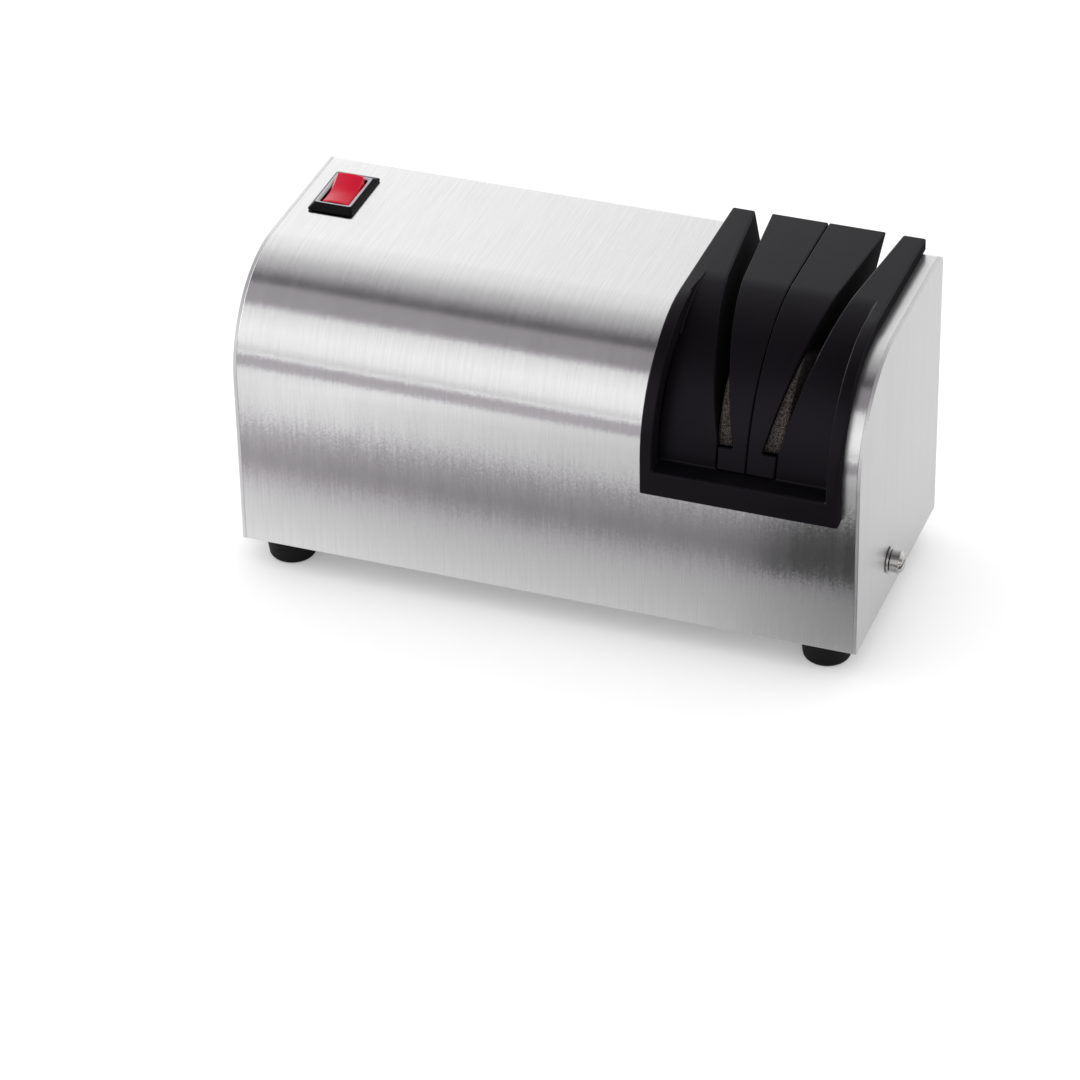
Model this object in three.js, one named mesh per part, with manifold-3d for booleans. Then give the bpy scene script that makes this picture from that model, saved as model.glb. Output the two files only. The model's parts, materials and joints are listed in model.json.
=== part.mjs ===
// An electric knife sharpener: a bent steel housing with a rocker switch, and a motor whose
// shaft turns two abrasive wheels under a lift-off guide with two blade slots.
import * as THREE from "three";
import { ConvexGeometry } from "three/addons/geometries/ConvexGeometry.js";
import { mergeVertices } from "three/addons/utils/BufferGeometryUtils.js";
import Module from "manifold-3d";

const wasm = await Module();
wasm.setup();

// Driving dimensions in millimetres: x from the left end, y from the front face back,
// z up from the lower edge of the housing
const housingLength = 230;
const housingDepth = 98;
const housingHeight = 106;
const frontBendRadius = 39;
const backBendRadius = 3;
const sheetThickness = 1.2;
const footHeight = 11;
const seatGap = 0.3;
const cutOverrun = 3;
const weldDistance = 0.0001;

// End panels
const panelThickness = 1.2;
const panelFlangeDepth = 6;
const panelFlangeThickness = 1;

// Base plate
const baseThickness = 1.2;
const baseLift = 0.4;
const baseFlangeHeight = 22;
const baseFlangeInset = 12;
const ventLength = 34;
const ventWidth = 3.5;
const ventPitch = 9;
const ventSetLeft = 18.4;

// Cover screws, one in each end
const coverScrewY = 38;
const coverScrewZ = 15.3;
const coverShankRadius = 1.9;
const coverShankLength = 7;
const coverHeadRadius = 4.1;
const coverHeadHeight = 4.2;
const coverHeadRound = 1;
const coverSlotWidth = 1.1;
const coverSlotDepth = 1.2;
const coverWasherRadius = 4.9;
const coverWasherThickness = 0.8;

// Feet
const footInsetX = 14;
const footInsetY = 12;
const footTopRadius = 9.6;
const footBottomRadius = 8.4;
const footRound = 1.4;
const footScrewRadius = 1.9;
const footScrewLength = 11;
const footHeadRadius = 4;
const footHeadHeight = 2.4;
const footHeadDepth = 5;

// Rocker switch
const switchX = 15.3;
const switchSetForward = 27.5;
const bezelWidth = 17;
const bezelLength = 28.6;
const bezelHeight = 1.9;
const bezelCorner = 1;
const bezelLip = 0.5;
const bezelTopWidth = 13.8;
const bezelTopLength = 21.8;
const wellBevel = 0.5;
const switchWidth = 13.2;
const switchLength = 23.8;
const switchBodyDepth = 24;
const rockerWidth = 10.2;
const rockerReach = 8.2;
const rockerPivotDrop = 1.7;
const rockerFaceHeight = 3.8;
const rockerSkirt = 3;
const rockerKeel = 6;
const rockerThrowDegrees = 24;
const rockerSideGap = 0.4;
const rockerEndGap = 1.5;
const rockerPinRadius = 1.3;
const rockerPinLength = 1.1;
const terminalWidth = 6.3;
const terminalThickness = 0.8;
const terminalLength = 9;
const terminalSpread = 7;

// Cord gland at the back, and the terminal block behind it
const glandX = 22;
const glandZ = 18;
const glandProud = 5;
const glandFlangeRadius = 8.5;
const glandNoseRadius = 6.6;
const glandBodyRadius = 5.4;
const glandBoreRadius = 3.6;
const glandBodyLength = 9;
const glandNutRadius = 8;
const glandNutThickness = 3;
const blockGlandPitch = 18;
const blockLength = 27;
const blockDepth = 14;
const blockHeight = 13;
const blockWallGap = 6;
const blockHoleRadius = 2.2;
const blockHolePitch = 8;

// Shaft line
const shaftRadius = 4;
const shaftFanTail = 3;

// Motor
const motorEndInset = 33.6;
const motorDepthMargin = 42;
const stackLength = 32;
const stackRise = 25.5;
const stackChamfer = 5;
const rotorRadiusShare = 0.6035;
const airGap = 0.7;
const endRingStep = 1.9;
const endRingLength = 3;
const windowWidthShare = 1.286;
const poleSlotWidth = 3;
const bobbinWall = 1.5;
const bobbinFlange = 1.6;
const bobbinLengthShare = 1.143;
const boltInsetShare = 0.179;
const motorFloorShare = 0.318;
const lowerLegShare = 0.265;
const windowHeightShare = 0.287;
const bobbinFlangeShare = 0.176;
const windingDepthShare = 0.163;
const windingRound = 4;
const bridgeStand = 8.6;
const bridgeStrap = 3.4;
const bridgeHeight = 15;
const bridgeFoot = 8;
const bridgeBossRadius = 9;
const bridgeBossProud = 3;
const bearingRadius = 6.5;
const bearingLength = 9;
const boltRadius = 2;
const boltHeadRadius = 4;
const boltHeadHeight = 3;
const boltTail = 1.5;
const bracketThickness = 3;
const bracketWidth = 24;
const bracketHeight = 50;
const bracketFoot = 12;
const mountScrewRadius = 1.9;
const mountHeadRadius = 3.6;
const mountHeadHeight = 2.2;
const mountScrewTail = 2;

// Cooling fan
const fanReach = 46;
const fanWidth = 11;
const fanHubRadius = 9;
const fanRadius = 29;
const fanBladeThickness = 1.4;
const fanBladeCount = 7;
const fanPitchDegrees = 38;

// Abrasive wheels, their x measured from the middle of the guide
const wheelDepthMargin = 28;
const wheelFrontGap = 9;
const wheelInnerFace = 3.5;
const wheelRimFace = 12;
const wheelHubFace = 12.3;
const wheelRecessFace = 8;
const wheelRecessRadius = 12;
const wheelBevel = 0.8;
const hubRadius = 8;
const hubFlangeRadius = 18;
const hubFlangeThickness = 2.2;
const spacerThickness = 1.4;
const spacerRadius = 7.5;
const wheelWasherRadius = 11.4;
const wheelWasherThickness = 1.5;
const sleeveRadius = 6.2;
const wheelNutRadius = 6.2;
const wheelNutHeight = 4.4;
const shaftTail = 0.8;

// Blade guide, its x measured from its own middle plane
const guideEndGap = 6.3;
const guideHalfWidth = 35.5;
const guideProud = 5;
const guideSkirtDrop = 52.3;
const rimWidth = 4.5;
const cutoutRise = 3.3;
const cutoutCover = 3;
const ledgeRise = 6.5;
const guideWall = 2.4;
const slotDepth = 39.5;
const sideWallStep = 0.5;
const frontBarGap = 1.3;
const rearBarWidth = 12;
const crownFrontInset = 3;
const crownFootDrop = 0.4;
const crownTopStep = 0.2;
const slotDatumInset = 1;
const slotOuterMouth = 27.1;
const slotInnerMouth = 20.9;
const outerToeShare = 0.104;
const outerLeanShare = 0.179;
const innerToeShare = 0.084;
const innerLeanShare = 0.203;
const slotWall = 3.2;
const floorLip = 1.3;
const floorSumpDepth = 2;
const chamberClearance = 1;
const chamberSideGap = 0.5;
const hoodWall = 2.87;
const shaftNotchReach = 10;
const shaftNotchRise = 9.5;
const guardScrewX = 6;
const guardScrewRadius = 1;
const guardScrewFrontY = 5.9;
const guardScrewRearX = 9;
const guardScrewRearInset = 6;
const guardScrewReach = 4;
const guardHeadRadius = 2;
const guardHeadHeight = 1.6;

// Facets
const bendSteps = 14;
const smallBendSteps = 4;
const crownSteps = 14;
const roundFacets = 16;
const wheelFacets = 48;
const hexFacets = 6;

const housingMiddleX = housingLength / 2;
const housingMiddleY = housingDepth / 2;
const baseTopZ = baseLift + baseThickness;
const insideX = panelThickness + seatGap;
const switchY = housingDepth - switchSetForward;
const blockX = glandX + blockGlandPitch;

// The guide hangs from the top of the housing, near its right end
const guideCentreX = housingLength - guideHalfWidth - guideEndGap;
const guideTopZ = housingHeight + guideProud;
const guideBottomZ = housingHeight - guideSkirtDrop;
const cutoutBottomZ = guideBottomZ + cutoutRise;
const ledgeZ = cutoutBottomZ + ledgeRise;
const slotFloorZ = guideTopZ - slotDepth;
const sideWallBottomZ = slotFloorZ + sideWallStep;
const cutoutHalfWidth = guideHalfWidth - cutoutCover;
const rimInnerX = guideHalfWidth - rimWidth;
const skirtX = cutoutHalfWidth - seatGap;
const guideSillZ = cutoutBottomZ + seatGap;
const slotDatumY = housingDepth - slotDatumInset;
const frontBarBackY = wheelFrontGap - frontBarGap;
const rearBarFrontY = housingDepth - rearBarWidth;
const guardScrewRearY = housingDepth - guardScrewRearInset;
const crownCentreZ = cutoutBottomZ - crownFootDrop;
const crownRadius = guideTopZ + crownTopStep - crownCentreZ;
const crownCentreY = crownFrontInset + crownRadius;
const floorFrontY = crownCentreY - Math.sqrt(crownRadius ** 2 - (slotFloorZ - crownCentreZ) ** 2);

// The wheels fill the depth of the guide, as high as the hood's wall allows
const wheelRadius = (housingDepth - wheelDepthMargin) / 2;
const wheelToCrown = crownRadius - wheelRadius - chamberClearance - hoodWall;
const shaftY = wheelFrontGap + wheelRadius;
const shaftZ = crownCentreZ + Math.sqrt(wheelToCrown ** 2 - (crownCentreY - shaftY) ** 2);
const chamberX = wheelHubFace + chamberSideGap;
const chamberRadius = wheelRadius + chamberClearance;

// The motor stands between the fan and the wheels, and its coil fills the room under the rotor
const motorMiddleX = (guideCentreX + motorEndInset) / 2;
const fanX = motorMiddleX - fanReach;
const shaftStartX = fanX - shaftFanTail;
const stackHalfDepth = (housingDepth - motorDepthMargin) / 2;
const stackFrontY = shaftY - stackHalfDepth;
const stackBackY = shaftY + stackHalfDepth;
const stackTopZ = shaftZ + stackRise;
const rotorRadius = stackHalfDepth * rotorRadiusShare;
const endRingRadius = rotorRadius - endRingStep;
const boltInset = stackHalfDepth * boltInsetShare;
const windowWidth = stackHalfDepth * windowWidthShare;
const bobbinLength = stackHalfDepth * bobbinLengthShare;
const coilRoom = shaftZ - rotorRadius - airGap - baseTopZ;
const stackBottomZ = baseTopZ + coilRoom * motorFloorShare;
const lowerLegHeight = coilRoom * lowerLegShare;
const windowHeight = coilRoom * windowHeightShare;
const bobbinFlangeReach = coilRoom * bobbinFlangeShare;
const windingDepth = coilRoom * windingDepthShare;

const looks = {
  steel: look(0xb9b8b9, 0.32, 1),
  zinc: look(0xa9a9a6, 0.4, 1),
  blackPlastic: look(0x1d1b1e, 0.45, 0),
  redPlastic: look(0xc4122f, 0.35, 0),
  rubber: look(0x161518, 0.8, 0),
  laminations: look(0x6d6e72, 0.6, 0.8),
  copper: look(0xb06a3a, 0.45, 0.9),
  bronze: look(0xa88346, 0.45, 0.9),
  aluminium: look(0xbfc1c4, 0.45, 1),
  brass: look(0xc9a45a, 0.35, 1),
  nylon: look(0xdcd8cc, 0.6, 0),
  abrasive: look(0x6b5c57, 0.95, 0),
};

function look(color, roughness, metalness) {
  return new THREE.MeshStandardMaterial({ color, roughness, metalness });
}

// A closed geometry as a solid that can be joined and cut
function solid(geometry) {
  const bare = geometry.clone();
  bare.deleteAttribute("normal");
  bare.deleteAttribute("uv");
  const merged = mergeVertices(bare, weldDistance);
  const mesh = new wasm.Mesh({
    numProp: 3,
    vertProperties: merged.attributes.position.array,
    triVerts: new Uint32Array(merged.index.array),
  });
  return new wasm.Manifold(mesh);
}

function piece(name, shape, material) {
  const data = shape.getMesh();
  const geometry = new THREE.BufferGeometry();
  geometry.setAttribute("position", new THREE.BufferAttribute(data.vertProperties, 3));
  geometry.setIndex(new THREE.BufferAttribute(data.triVerts, 1));
  geometry.computeVertexNormals();
  const mesh = new THREE.Mesh(geometry, material);
  mesh.name = name;
  return mesh;
}

function box(fromX, toX, fromY, toY, fromZ, toZ) {
  const geometry = new THREE.BoxGeometry(toX - fromX, toY - fromY, toZ - fromZ);
  geometry.translate((fromX + toX) / 2, (fromY + toY) / 2, (fromZ + toZ) / 2);
  return solid(geometry);
}

// Swaps axes in a ring, so that an outline drawn in x and y lies in y and z and is drawn out along x
const outlineToX = new THREE.Matrix4().set(0, 0, 1, 0, 1, 0, 0, 0, 0, 1, 0, 0, 0, 0, 0, 1);
const latheToX = new THREE.Matrix4().set(0, 1, 0, 0, 0, 0, 1, 0, 1, 0, 0, 0, 0, 0, 0, 1);
const latheToZ = outlineToX;

// An outline in the y-z plane drawn out from one x to another
function slab(points, fromX, toX) {
  const options = { depth: toX - fromX, bevelEnabled: false };
  const geometry = new THREE.ExtrudeGeometry(new THREE.Shape(points), options);
  geometry.applyMatrix4(outlineToX);
  geometry.translate(fromX, 0, 0);
  return solid(geometry);
}

// A closed profile of [radius, height] pairs turned about the lathe's axis
function turned(pairs, matrix, facets = roundFacets) {
  const points = pairs.map(([radius, height]) => new THREE.Vector2(radius, height));
  if (THREE.ShapeUtils.isClockWise(points)) {
    points.reverse();
  }
  points.push(points[0].clone());
  const geometry = new THREE.LatheGeometry(points, facets);
  if (matrix) {
    geometry.applyMatrix4(matrix);
  }
  return solid(geometry);
}

function rod(radius, from, to, matrix, facets = roundFacets) {
  return turned([[0, from], [radius, from], [radius, to], [0, to]], matrix, facets);
}

function ring(inner, outer, from, to, matrix, facets = roundFacets) {
  return turned([[inner, from], [outer, from], [outer, to], [inner, to]], matrix, facets);
}

function arc(centreY, centreZ, radius, fromDegrees, toDegrees, steps) {
  return Array.from({ length: steps + 1 }, (_, i) => {
    const degrees = fromDegrees + ((toDegrees - fromDegrees) * i) / steps;
    const angle = THREE.MathUtils.degToRad(degrees);
    const y = centreY + radius * Math.cos(angle);
    const z = centreZ + radius * Math.sin(angle);
    return new THREE.Vector2(y, z);
  });
}

function point(y, z) {
  return new THREE.Vector2(y, z);
}

// The side profile of the housing, drawn in by the inset on all sides but the bottom
function housingProfile(inset, bottomZ) {
  const bendZ = housingHeight - frontBendRadius;
  const backY = housingDepth - backBendRadius;
  const backZ = housingHeight - backBendRadius;
  return [
    point(housingDepth - inset, bottomZ),
    ...arc(backY, backZ, backBendRadius - inset, 0, 90, smallBendSteps),
    ...arc(frontBendRadius, bendZ, frontBendRadius - inset, 90, 180, bendSteps),
    point(inset, bottomZ),
  ];
}

function housingWrap() {
  const endX = housingLength - insideX;
  const inside = slab(housingProfile(sheetThickness, -cutOverrun), -cutOverrun, housingLength + cutOverrun);
  const cutout = box(
    guideCentreX - cutoutHalfWidth,
    guideCentreX + cutoutHalfWidth,
    -cutOverrun,
    housingDepth + cutOverrun,
    cutoutBottomZ,
    housingHeight + cutOverrun,
  );
  const switchHole = box(
    switchX - switchWidth / 2 - seatGap,
    switchX + switchWidth / 2 + seatGap,
    switchY - switchLength / 2 - seatGap,
    switchY + switchLength / 2 + seatGap,
    housingHeight - sheetThickness - cutOverrun,
    housingHeight + cutOverrun,
  );
  const glandHole = rod(
    glandBodyRadius + seatGap,
    housingDepth - sheetThickness - cutOverrun,
    housingDepth + cutOverrun,
  ).translate([glandX, 0, glandZ]);
  return slab(housingProfile(0, 0), insideX, endX)
    .subtract(inside)
    .subtract(cutout)
    .subtract(switchHole)
    .subtract(glandHole);
}

function endPanel() {
  const flangeInset = sheetThickness + seatGap;
  const flangeBottomZ = baseTopZ + seatGap;
  const flangeEndX = panelThickness + panelFlangeDepth;
  const hole = rod(coverShankRadius + seatGap, -cutOverrun, panelThickness + cutOverrun, latheToX);
  const flange = slab(housingProfile(flangeInset, flangeBottomZ), 0, flangeEndX).subtract(
    slab(
      housingProfile(flangeInset + panelFlangeThickness, -cutOverrun),
      panelThickness,
      flangeEndX + cutOverrun,
    ),
  );
  return slab(housingProfile(0, 0), 0, panelThickness)
    .add(flange)
    .subtract(hole.translate([0, coverScrewY, coverScrewZ]));
}

function vents() {
  const ventMiddleX = guideCentreX - ventSetLeft;
  const rows = [];
  for (let y = baseFlangeInset; y + ventWidth < housingDepth - baseFlangeInset; y += ventPitch) {
    rows.push(
      box(
        ventMiddleX - ventLength / 2,
        ventMiddleX + ventLength / 2,
        y,
        y + ventWidth,
        -cutOverrun,
        baseTopZ + cutOverrun,
      ),
    );
  }
  return rows;
}

function basePlate() {
  const frontY = sheetThickness + seatGap;
  const backY = housingDepth - frontY;
  const endX = housingLength - insideX;
  const flangeBackY = housingDepth - baseFlangeInset;
  const across = rod(coverShankRadius + seatGap, 0, housingLength, latheToX);
  let plate = box(insideX, endX, frontY, backY, baseLift, baseTopZ);
  for (const x of [insideX, endX - baseThickness]) {
    plate = plate.add(box(x, x + baseThickness, baseFlangeInset, flangeBackY, baseLift, baseFlangeHeight));
  }
  for (const [x, y] of footPlaces()) {
    const hole = rod(footScrewRadius + seatGap, -cutOverrun, baseTopZ + cutOverrun, latheToZ);
    plate = plate.subtract(hole.translate([x, y, 0]));
  }
  for (const y of mountScrewPlaces()) {
    const hole = rod(mountScrewRadius + seatGap, -cutOverrun, baseTopZ + cutOverrun, latheToZ);
    plate = plate.subtract(hole.translate([motorMiddleX, y, 0]));
  }
  for (const slot of vents()) {
    plate = plate.subtract(slot);
  }
  return plate.subtract(across.translate([0, coverScrewY, coverScrewZ]));
}

function footPlaces() {
  const places = [];
  for (const x of [footInsetX, housingLength - footInsetX]) {
    for (const y of [footInsetY, housingDepth - footInsetY]) {
      places.push([x, y]);
    }
  }
  return places;
}

function foot() {
  const topZ = baseLift - seatGap;
  const shoulderZ = topZ - footHeadDepth;
  const boreRadius = footScrewRadius + seatGap;
  const recessRadius = footHeadRadius + seatGap * 2;
  return turned(
    [
      [boreRadius, topZ],
      [boreRadius, shoulderZ],
      [recessRadius, shoulderZ],
      [recessRadius, -footHeight],
      [footBottomRadius - footRound, -footHeight],
      [footBottomRadius, footRound - footHeight],
      [footTopRadius, topZ - footRound],
      [footTopRadius, topZ],
    ],
    latheToZ,
  );
}

function footScrew() {
  const shoulderZ = baseLift - seatGap - footHeadDepth - seatGap;
  return turned(
    [
      [0, shoulderZ - footHeadHeight],
      [footHeadRadius, shoulderZ - footHeadHeight],
      [footHeadRadius, shoulderZ],
      [footScrewRadius, shoulderZ],
      [footScrewRadius, shoulderZ + footScrewLength],
      [0, shoulderZ + footScrewLength],
    ],
    latheToZ,
  );
}

// The screw and washer lie outside the left panel: the right ones are their mirror images
function coverWasher() {
  return ring(
    coverShankRadius + seatGap,
    coverWasherRadius,
    -seatGap - coverWasherThickness,
    -seatGap,
    latheToX,
  ).translate([0, coverScrewY, coverScrewZ]);
}

function coverScrew() {
  const seatX = -coverWasherThickness - seatGap * 2;
  const endX = seatX - coverHeadHeight;
  const slot = box(
    endX - cutOverrun,
    endX + coverSlotDepth,
    coverScrewY - coverHeadRadius - cutOverrun,
    coverScrewY + coverHeadRadius + cutOverrun,
    coverScrewZ - coverSlotWidth / 2,
    coverScrewZ + coverSlotWidth / 2,
  );
  return turned(
    [
      [0, endX],
      [coverHeadRadius - coverHeadRound, endX],
      [coverHeadRadius, endX + coverHeadRound],
      [coverHeadRadius, seatX],
      [coverShankRadius, seatX],
      [coverShankRadius, coverShankLength],
      [0, coverShankLength],
    ],
    latheToX,
  )
    .translate([0, coverScrewY, coverScrewZ])
    .subtract(slot);
}

// A box whose top is wider or narrower than its foot by the flare on every side
function flaredBox(halfWidth, halfLength, fromZ, toZ, flare) {
  const corners = [];
  for (const [z, grow] of [[fromZ, 0], [toZ, flare]]) {
    for (const x of [-halfWidth - grow, halfWidth + grow]) {
      for (const y of [-halfLength - grow, halfLength + grow]) {
        corners.push(new THREE.Vector3(x, y, z));
      }
    }
  }
  return solid(new ConvexGeometry(corners));
}

function roundedPlate(halfWidth, halfLength, corner, fromZ, toZ) {
  const middleX = halfWidth - corner;
  const middleY = halfLength - corner;
  const points = [
    ...arc(middleX, middleY, corner, 0, 90, smallBendSteps),
    ...arc(-middleX, middleY, corner, 90, 180, smallBendSteps),
    ...arc(-middleX, -middleY, corner, 180, 270, smallBendSteps),
    ...arc(middleX, -middleY, corner, 270, 360, smallBendSteps),
  ];
  const options = { depth: toZ - fromZ, bevelEnabled: false };
  return solid(new THREE.ExtrudeGeometry(new THREE.Shape(points), options)).translate([0, 0, fromZ]);
}

// The collar round the rocker: a thin lip on the housing, and flanks that slope in to a flat top
function bezel(fromZ) {
  const lipZ = fromZ + bezelLip;
  const topZ = fromZ + bezelHeight;
  const corners = [];
  for (const [z, width, length] of [[lipZ, bezelWidth, bezelLength], [topZ, bezelTopWidth, bezelTopLength]]) {
    for (const x of [-width / 2, width / 2]) {
      for (const y of [-length / 2, length / 2]) {
        corners.push(new THREE.Vector3(x, y, z));
      }
    }
  }
  const whole = roundedPlate(bezelWidth / 2, bezelLength / 2, bezelCorner, fromZ, topZ);
  const sloped = solid(new ConvexGeometry(corners)).add(
    flaredBox(bezelWidth / 2, bezelLength / 2, fromZ, lipZ, 0),
  );
  return whole.intersect(sloped);
}

// The pivot of the rocker is the origin here, on the middle of the switch
function switchHousing() {
  const flangeZ = rockerPivotDrop + seatGap;
  const topZ = flangeZ + bezelHeight;
  const wellHalfWidth = rockerWidth / 2 + rockerSideGap;
  const wellHalfLength = rockerReach + rockerEndGap;
  const wellZ = -rockerKeel - rockerEndGap;
  const pinHoles = rod(
    rockerPinRadius + seatGap,
    -wellHalfWidth - rockerPinLength,
    wellHalfWidth + rockerPinLength,
    latheToX,
  );
  return bezel(flangeZ)
    .add(flaredBox(switchWidth / 2, switchLength / 2, flangeZ - switchBodyDepth, flangeZ + bezelLip, 0))
    .subtract(flaredBox(wellHalfWidth, wellHalfLength, wellZ, topZ + cutOverrun, 0))
    .subtract(flaredBox(wellHalfWidth, wellHalfLength, topZ - wellBevel, topZ, wellBevel))
    .subtract(pinHoles);
}

// The rocker stands level here, its two faces rising alike from the middle
function switchRocker() {
  const rise = rockerReach * Math.tan(THREE.MathUtils.degToRad(rockerThrowDegrees / 2));
  const sideY = rockerReach - rockerPinLength;
  const profile = [
    point(0, -rockerKeel),
    point(sideY, -rockerSkirt),
    point(rockerReach, rockerFaceHeight + rise),
    point(0, rockerFaceHeight),
    point(-rockerReach, rockerFaceHeight + rise),
    point(-sideY, -rockerSkirt),
  ];
  const pinReach = rockerWidth / 2 + rockerPinLength;
  return slab(profile, -rockerWidth / 2, rockerWidth / 2).add(
    rod(rockerPinRadius, -pinReach, pinReach, latheToX),
  );
}

function switchTerminal(y) {
  const topZ = rockerPivotDrop + seatGap - switchBodyDepth - seatGap;
  const hole = rod(terminalThickness, -terminalWidth, terminalWidth);
  return box(
    -terminalWidth / 2,
    terminalWidth / 2,
    y - terminalThickness / 2,
    y + terminalThickness / 2,
    topZ - terminalLength,
    topZ,
  ).subtract(hole.translate([0, y, topZ - terminalLength / 2]));
}

// Gland and nut lie along y, with the origin on the outer face of the back wall
function cordGland() {
  return turned([
    [glandBoreRadius, -glandBodyLength],
    [glandBodyRadius, -glandBodyLength],
    [glandBodyRadius, seatGap],
    [glandFlangeRadius, seatGap],
    [glandFlangeRadius, glandProud / 2],
    [glandNoseRadius, glandProud],
    [glandBoreRadius, glandProud],
  ]);
}

function glandNut() {
  const seatY = -sheetThickness - seatGap;
  return ring(
    glandBodyRadius + seatGap,
    glandNutRadius,
    seatY - glandNutThickness,
    seatY,
    undefined,
    hexFacets,
  ).subtract(rod(glandBodyRadius + seatGap, seatY - glandNutThickness - cutOverrun, seatY + cutOverrun));
}

function terminalBlock() {
  const bottomZ = baseTopZ + seatGap;
  const backY = housingDepth - blockWallGap;
  const frontY = backY - blockDepth;
  let block = box(blockX, blockX + blockLength, frontY, backY, bottomZ, bottomZ + blockHeight);
  for (const step of [-1, 0, 1]) {
    const hole = rod(blockHoleRadius, frontY - cutOverrun, backY + cutOverrun);
    const x = blockX + blockLength / 2 + step * blockHolePitch;
    block = block.subtract(hole.translate([x, 0, bottomZ + blockHeight / 2]));
  }
  return block;
}

function boltPlaces() {
  return [stackFrontY + boltInset, stackBackY - boltInset];
}

function statorStack() {
  const fromX = motorMiddleX - stackLength / 2;
  const toX = motorMiddleX + stackLength / 2;
  const windowBottomZ = stackBottomZ + lowerLegHeight;
  const windowTopZ = windowBottomZ + windowHeight;
  const outline = [
    point(stackFrontY, stackBottomZ),
    point(stackBackY, stackBottomZ),
    point(stackBackY, stackTopZ - stackChamfer),
    point(stackBackY - stackChamfer, stackTopZ),
    point(stackFrontY + stackChamfer, stackTopZ),
    point(stackFrontY, stackTopZ - stackChamfer),
  ];
  const bore = rod(rotorRadius + airGap, fromX - cutOverrun, toX + cutOverrun, latheToX, wheelFacets);
  let stack = slab(outline, fromX, toX)
    .subtract(bore.translate([0, shaftY, shaftZ]))
    .subtract(
      box(
        fromX - cutOverrun,
        toX + cutOverrun,
        shaftY - windowWidth / 2,
        shaftY + windowWidth / 2,
        windowBottomZ,
        windowTopZ,
      ),
    )
    .subtract(
      box(
        fromX - cutOverrun,
        toX + cutOverrun,
        shaftY - poleSlotWidth / 2,
        shaftY + poleSlotWidth / 2,
        windowBottomZ,
        shaftZ,
      ),
    );
  for (const y of boltPlaces()) {
    const hole = rod(boltRadius + seatGap, fromX - cutOverrun, toX + cutOverrun, latheToX);
    stack = stack.subtract(hole.translate([0, y, shaftZ]));
  }
  return stack;
}

// A box round the lower leg of the stack, stood off from it by the margin
function legBox(margin, halfLength) {
  return box(
    motorMiddleX - stackLength / 2 - margin,
    motorMiddleX + stackLength / 2 + margin,
    shaftY - halfLength,
    shaftY + halfLength,
    stackBottomZ - margin,
    stackBottomZ + lowerLegHeight + margin,
  );
}

function coilBobbin() {
  const half = bobbinLength / 2;
  let bobbin = legBox(seatGap + bobbinWall, half);
  for (const side of [-1, 1]) {
    const flange = legBox(seatGap + bobbinFlangeReach, bobbinFlange / 2);
    bobbin = bobbin.add(flange.translate([0, side * (half - bobbinFlange / 2), 0]));
  }
  return bobbin.subtract(legBox(seatGap, half + cutOverrun));
}

function coilWinding() {
  const half = bobbinLength / 2 - bobbinFlange - seatGap;
  const inner = seatGap * 2 + bobbinWall;
  const outer = inner + windingDepth;
  const halfX = stackLength / 2 + outer;
  const halfZ = lowerLegHeight / 2 + outer;
  const turns = roundedPlate(halfX, halfZ, windingRound, -half, half);
  return turns
    .rotate([90, 0, 0])
    .translate([motorMiddleX, shaftY, stackBottomZ + lowerLegHeight / 2])
    .subtract(legBox(inner, half + cutOverrun));
}

// The bridges are drawn at the left face of the stack and mirrored to the right one
function bearingBridge() {
  const faceX = -stackLength / 2 - seatGap;
  const strapX = faceX - bridgeStand;
  const outsideX = strapX - bridgeStrap;
  const lowZ = shaftZ - bridgeHeight / 2;
  const highZ = shaftZ + bridgeHeight / 2;
  const boss = rod(bridgeBossRadius, outsideX - bridgeBossProud, strapX + bridgeBossProud, latheToX);
  const bore = rod(bearingRadius + seatGap, outsideX - bridgeStand, faceX, latheToX);
  let bridge = box(outsideX, strapX, stackFrontY, stackBackY, lowZ, highZ)
    .add(box(outsideX, faceX, stackFrontY, stackFrontY + bridgeFoot, lowZ, highZ))
    .add(box(outsideX, faceX, stackBackY - bridgeFoot, stackBackY, lowZ, highZ))
    .add(boss.translate([0, shaftY, shaftZ]))
    .subtract(bore.translate([0, shaftY, shaftZ]));
  for (const y of boltPlaces()) {
    const hole = rod(boltRadius + seatGap, outsideX - cutOverrun, cutOverrun, latheToX);
    bridge = bridge.subtract(hole.translate([0, y, shaftZ]));
  }
  return bridge;
}

function bearing() {
  const middleX = -stackLength / 2 - seatGap - bridgeStand - bridgeStrap / 2;
  return ring(
    shaftRadius + seatGap,
    bearingRadius,
    middleX - bearingLength / 2,
    middleX + bearingLength / 2,
    latheToX,
  ).translate([0, shaftY, shaftZ]);
}

function bridgeOutsideX() {
  return stackLength / 2 + seatGap + bridgeStand + bridgeStrap;
}

function motorBolt(y) {
  const seatX = -bridgeOutsideX() - seatGap;
  const endX = bridgeOutsideX() + seatGap + boltHeadHeight + boltTail;
  return rod(boltHeadRadius, seatX - boltHeadHeight, seatX, latheToX, hexFacets)
    .add(rod(boltRadius, seatX - boltHeadHeight, endX, latheToX))
    .translate([motorMiddleX, y, shaftZ]);
}

function motorNut(y) {
  const seatX = bridgeOutsideX() + seatGap;
  return rod(boltHeadRadius, seatX, seatX + boltHeadHeight, latheToX, hexFacets)
    .subtract(rod(boltRadius + seatGap, seatX - cutOverrun, seatX + boltHeadHeight + cutOverrun, latheToX))
    .translate([motorMiddleX, y, shaftZ]);
}

function mountScrewPlaces() {
  const reach = seatGap + bracketFoot / 2 + bracketThickness / 2;
  return [stackFrontY - reach, stackBackY + reach];
}

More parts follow.
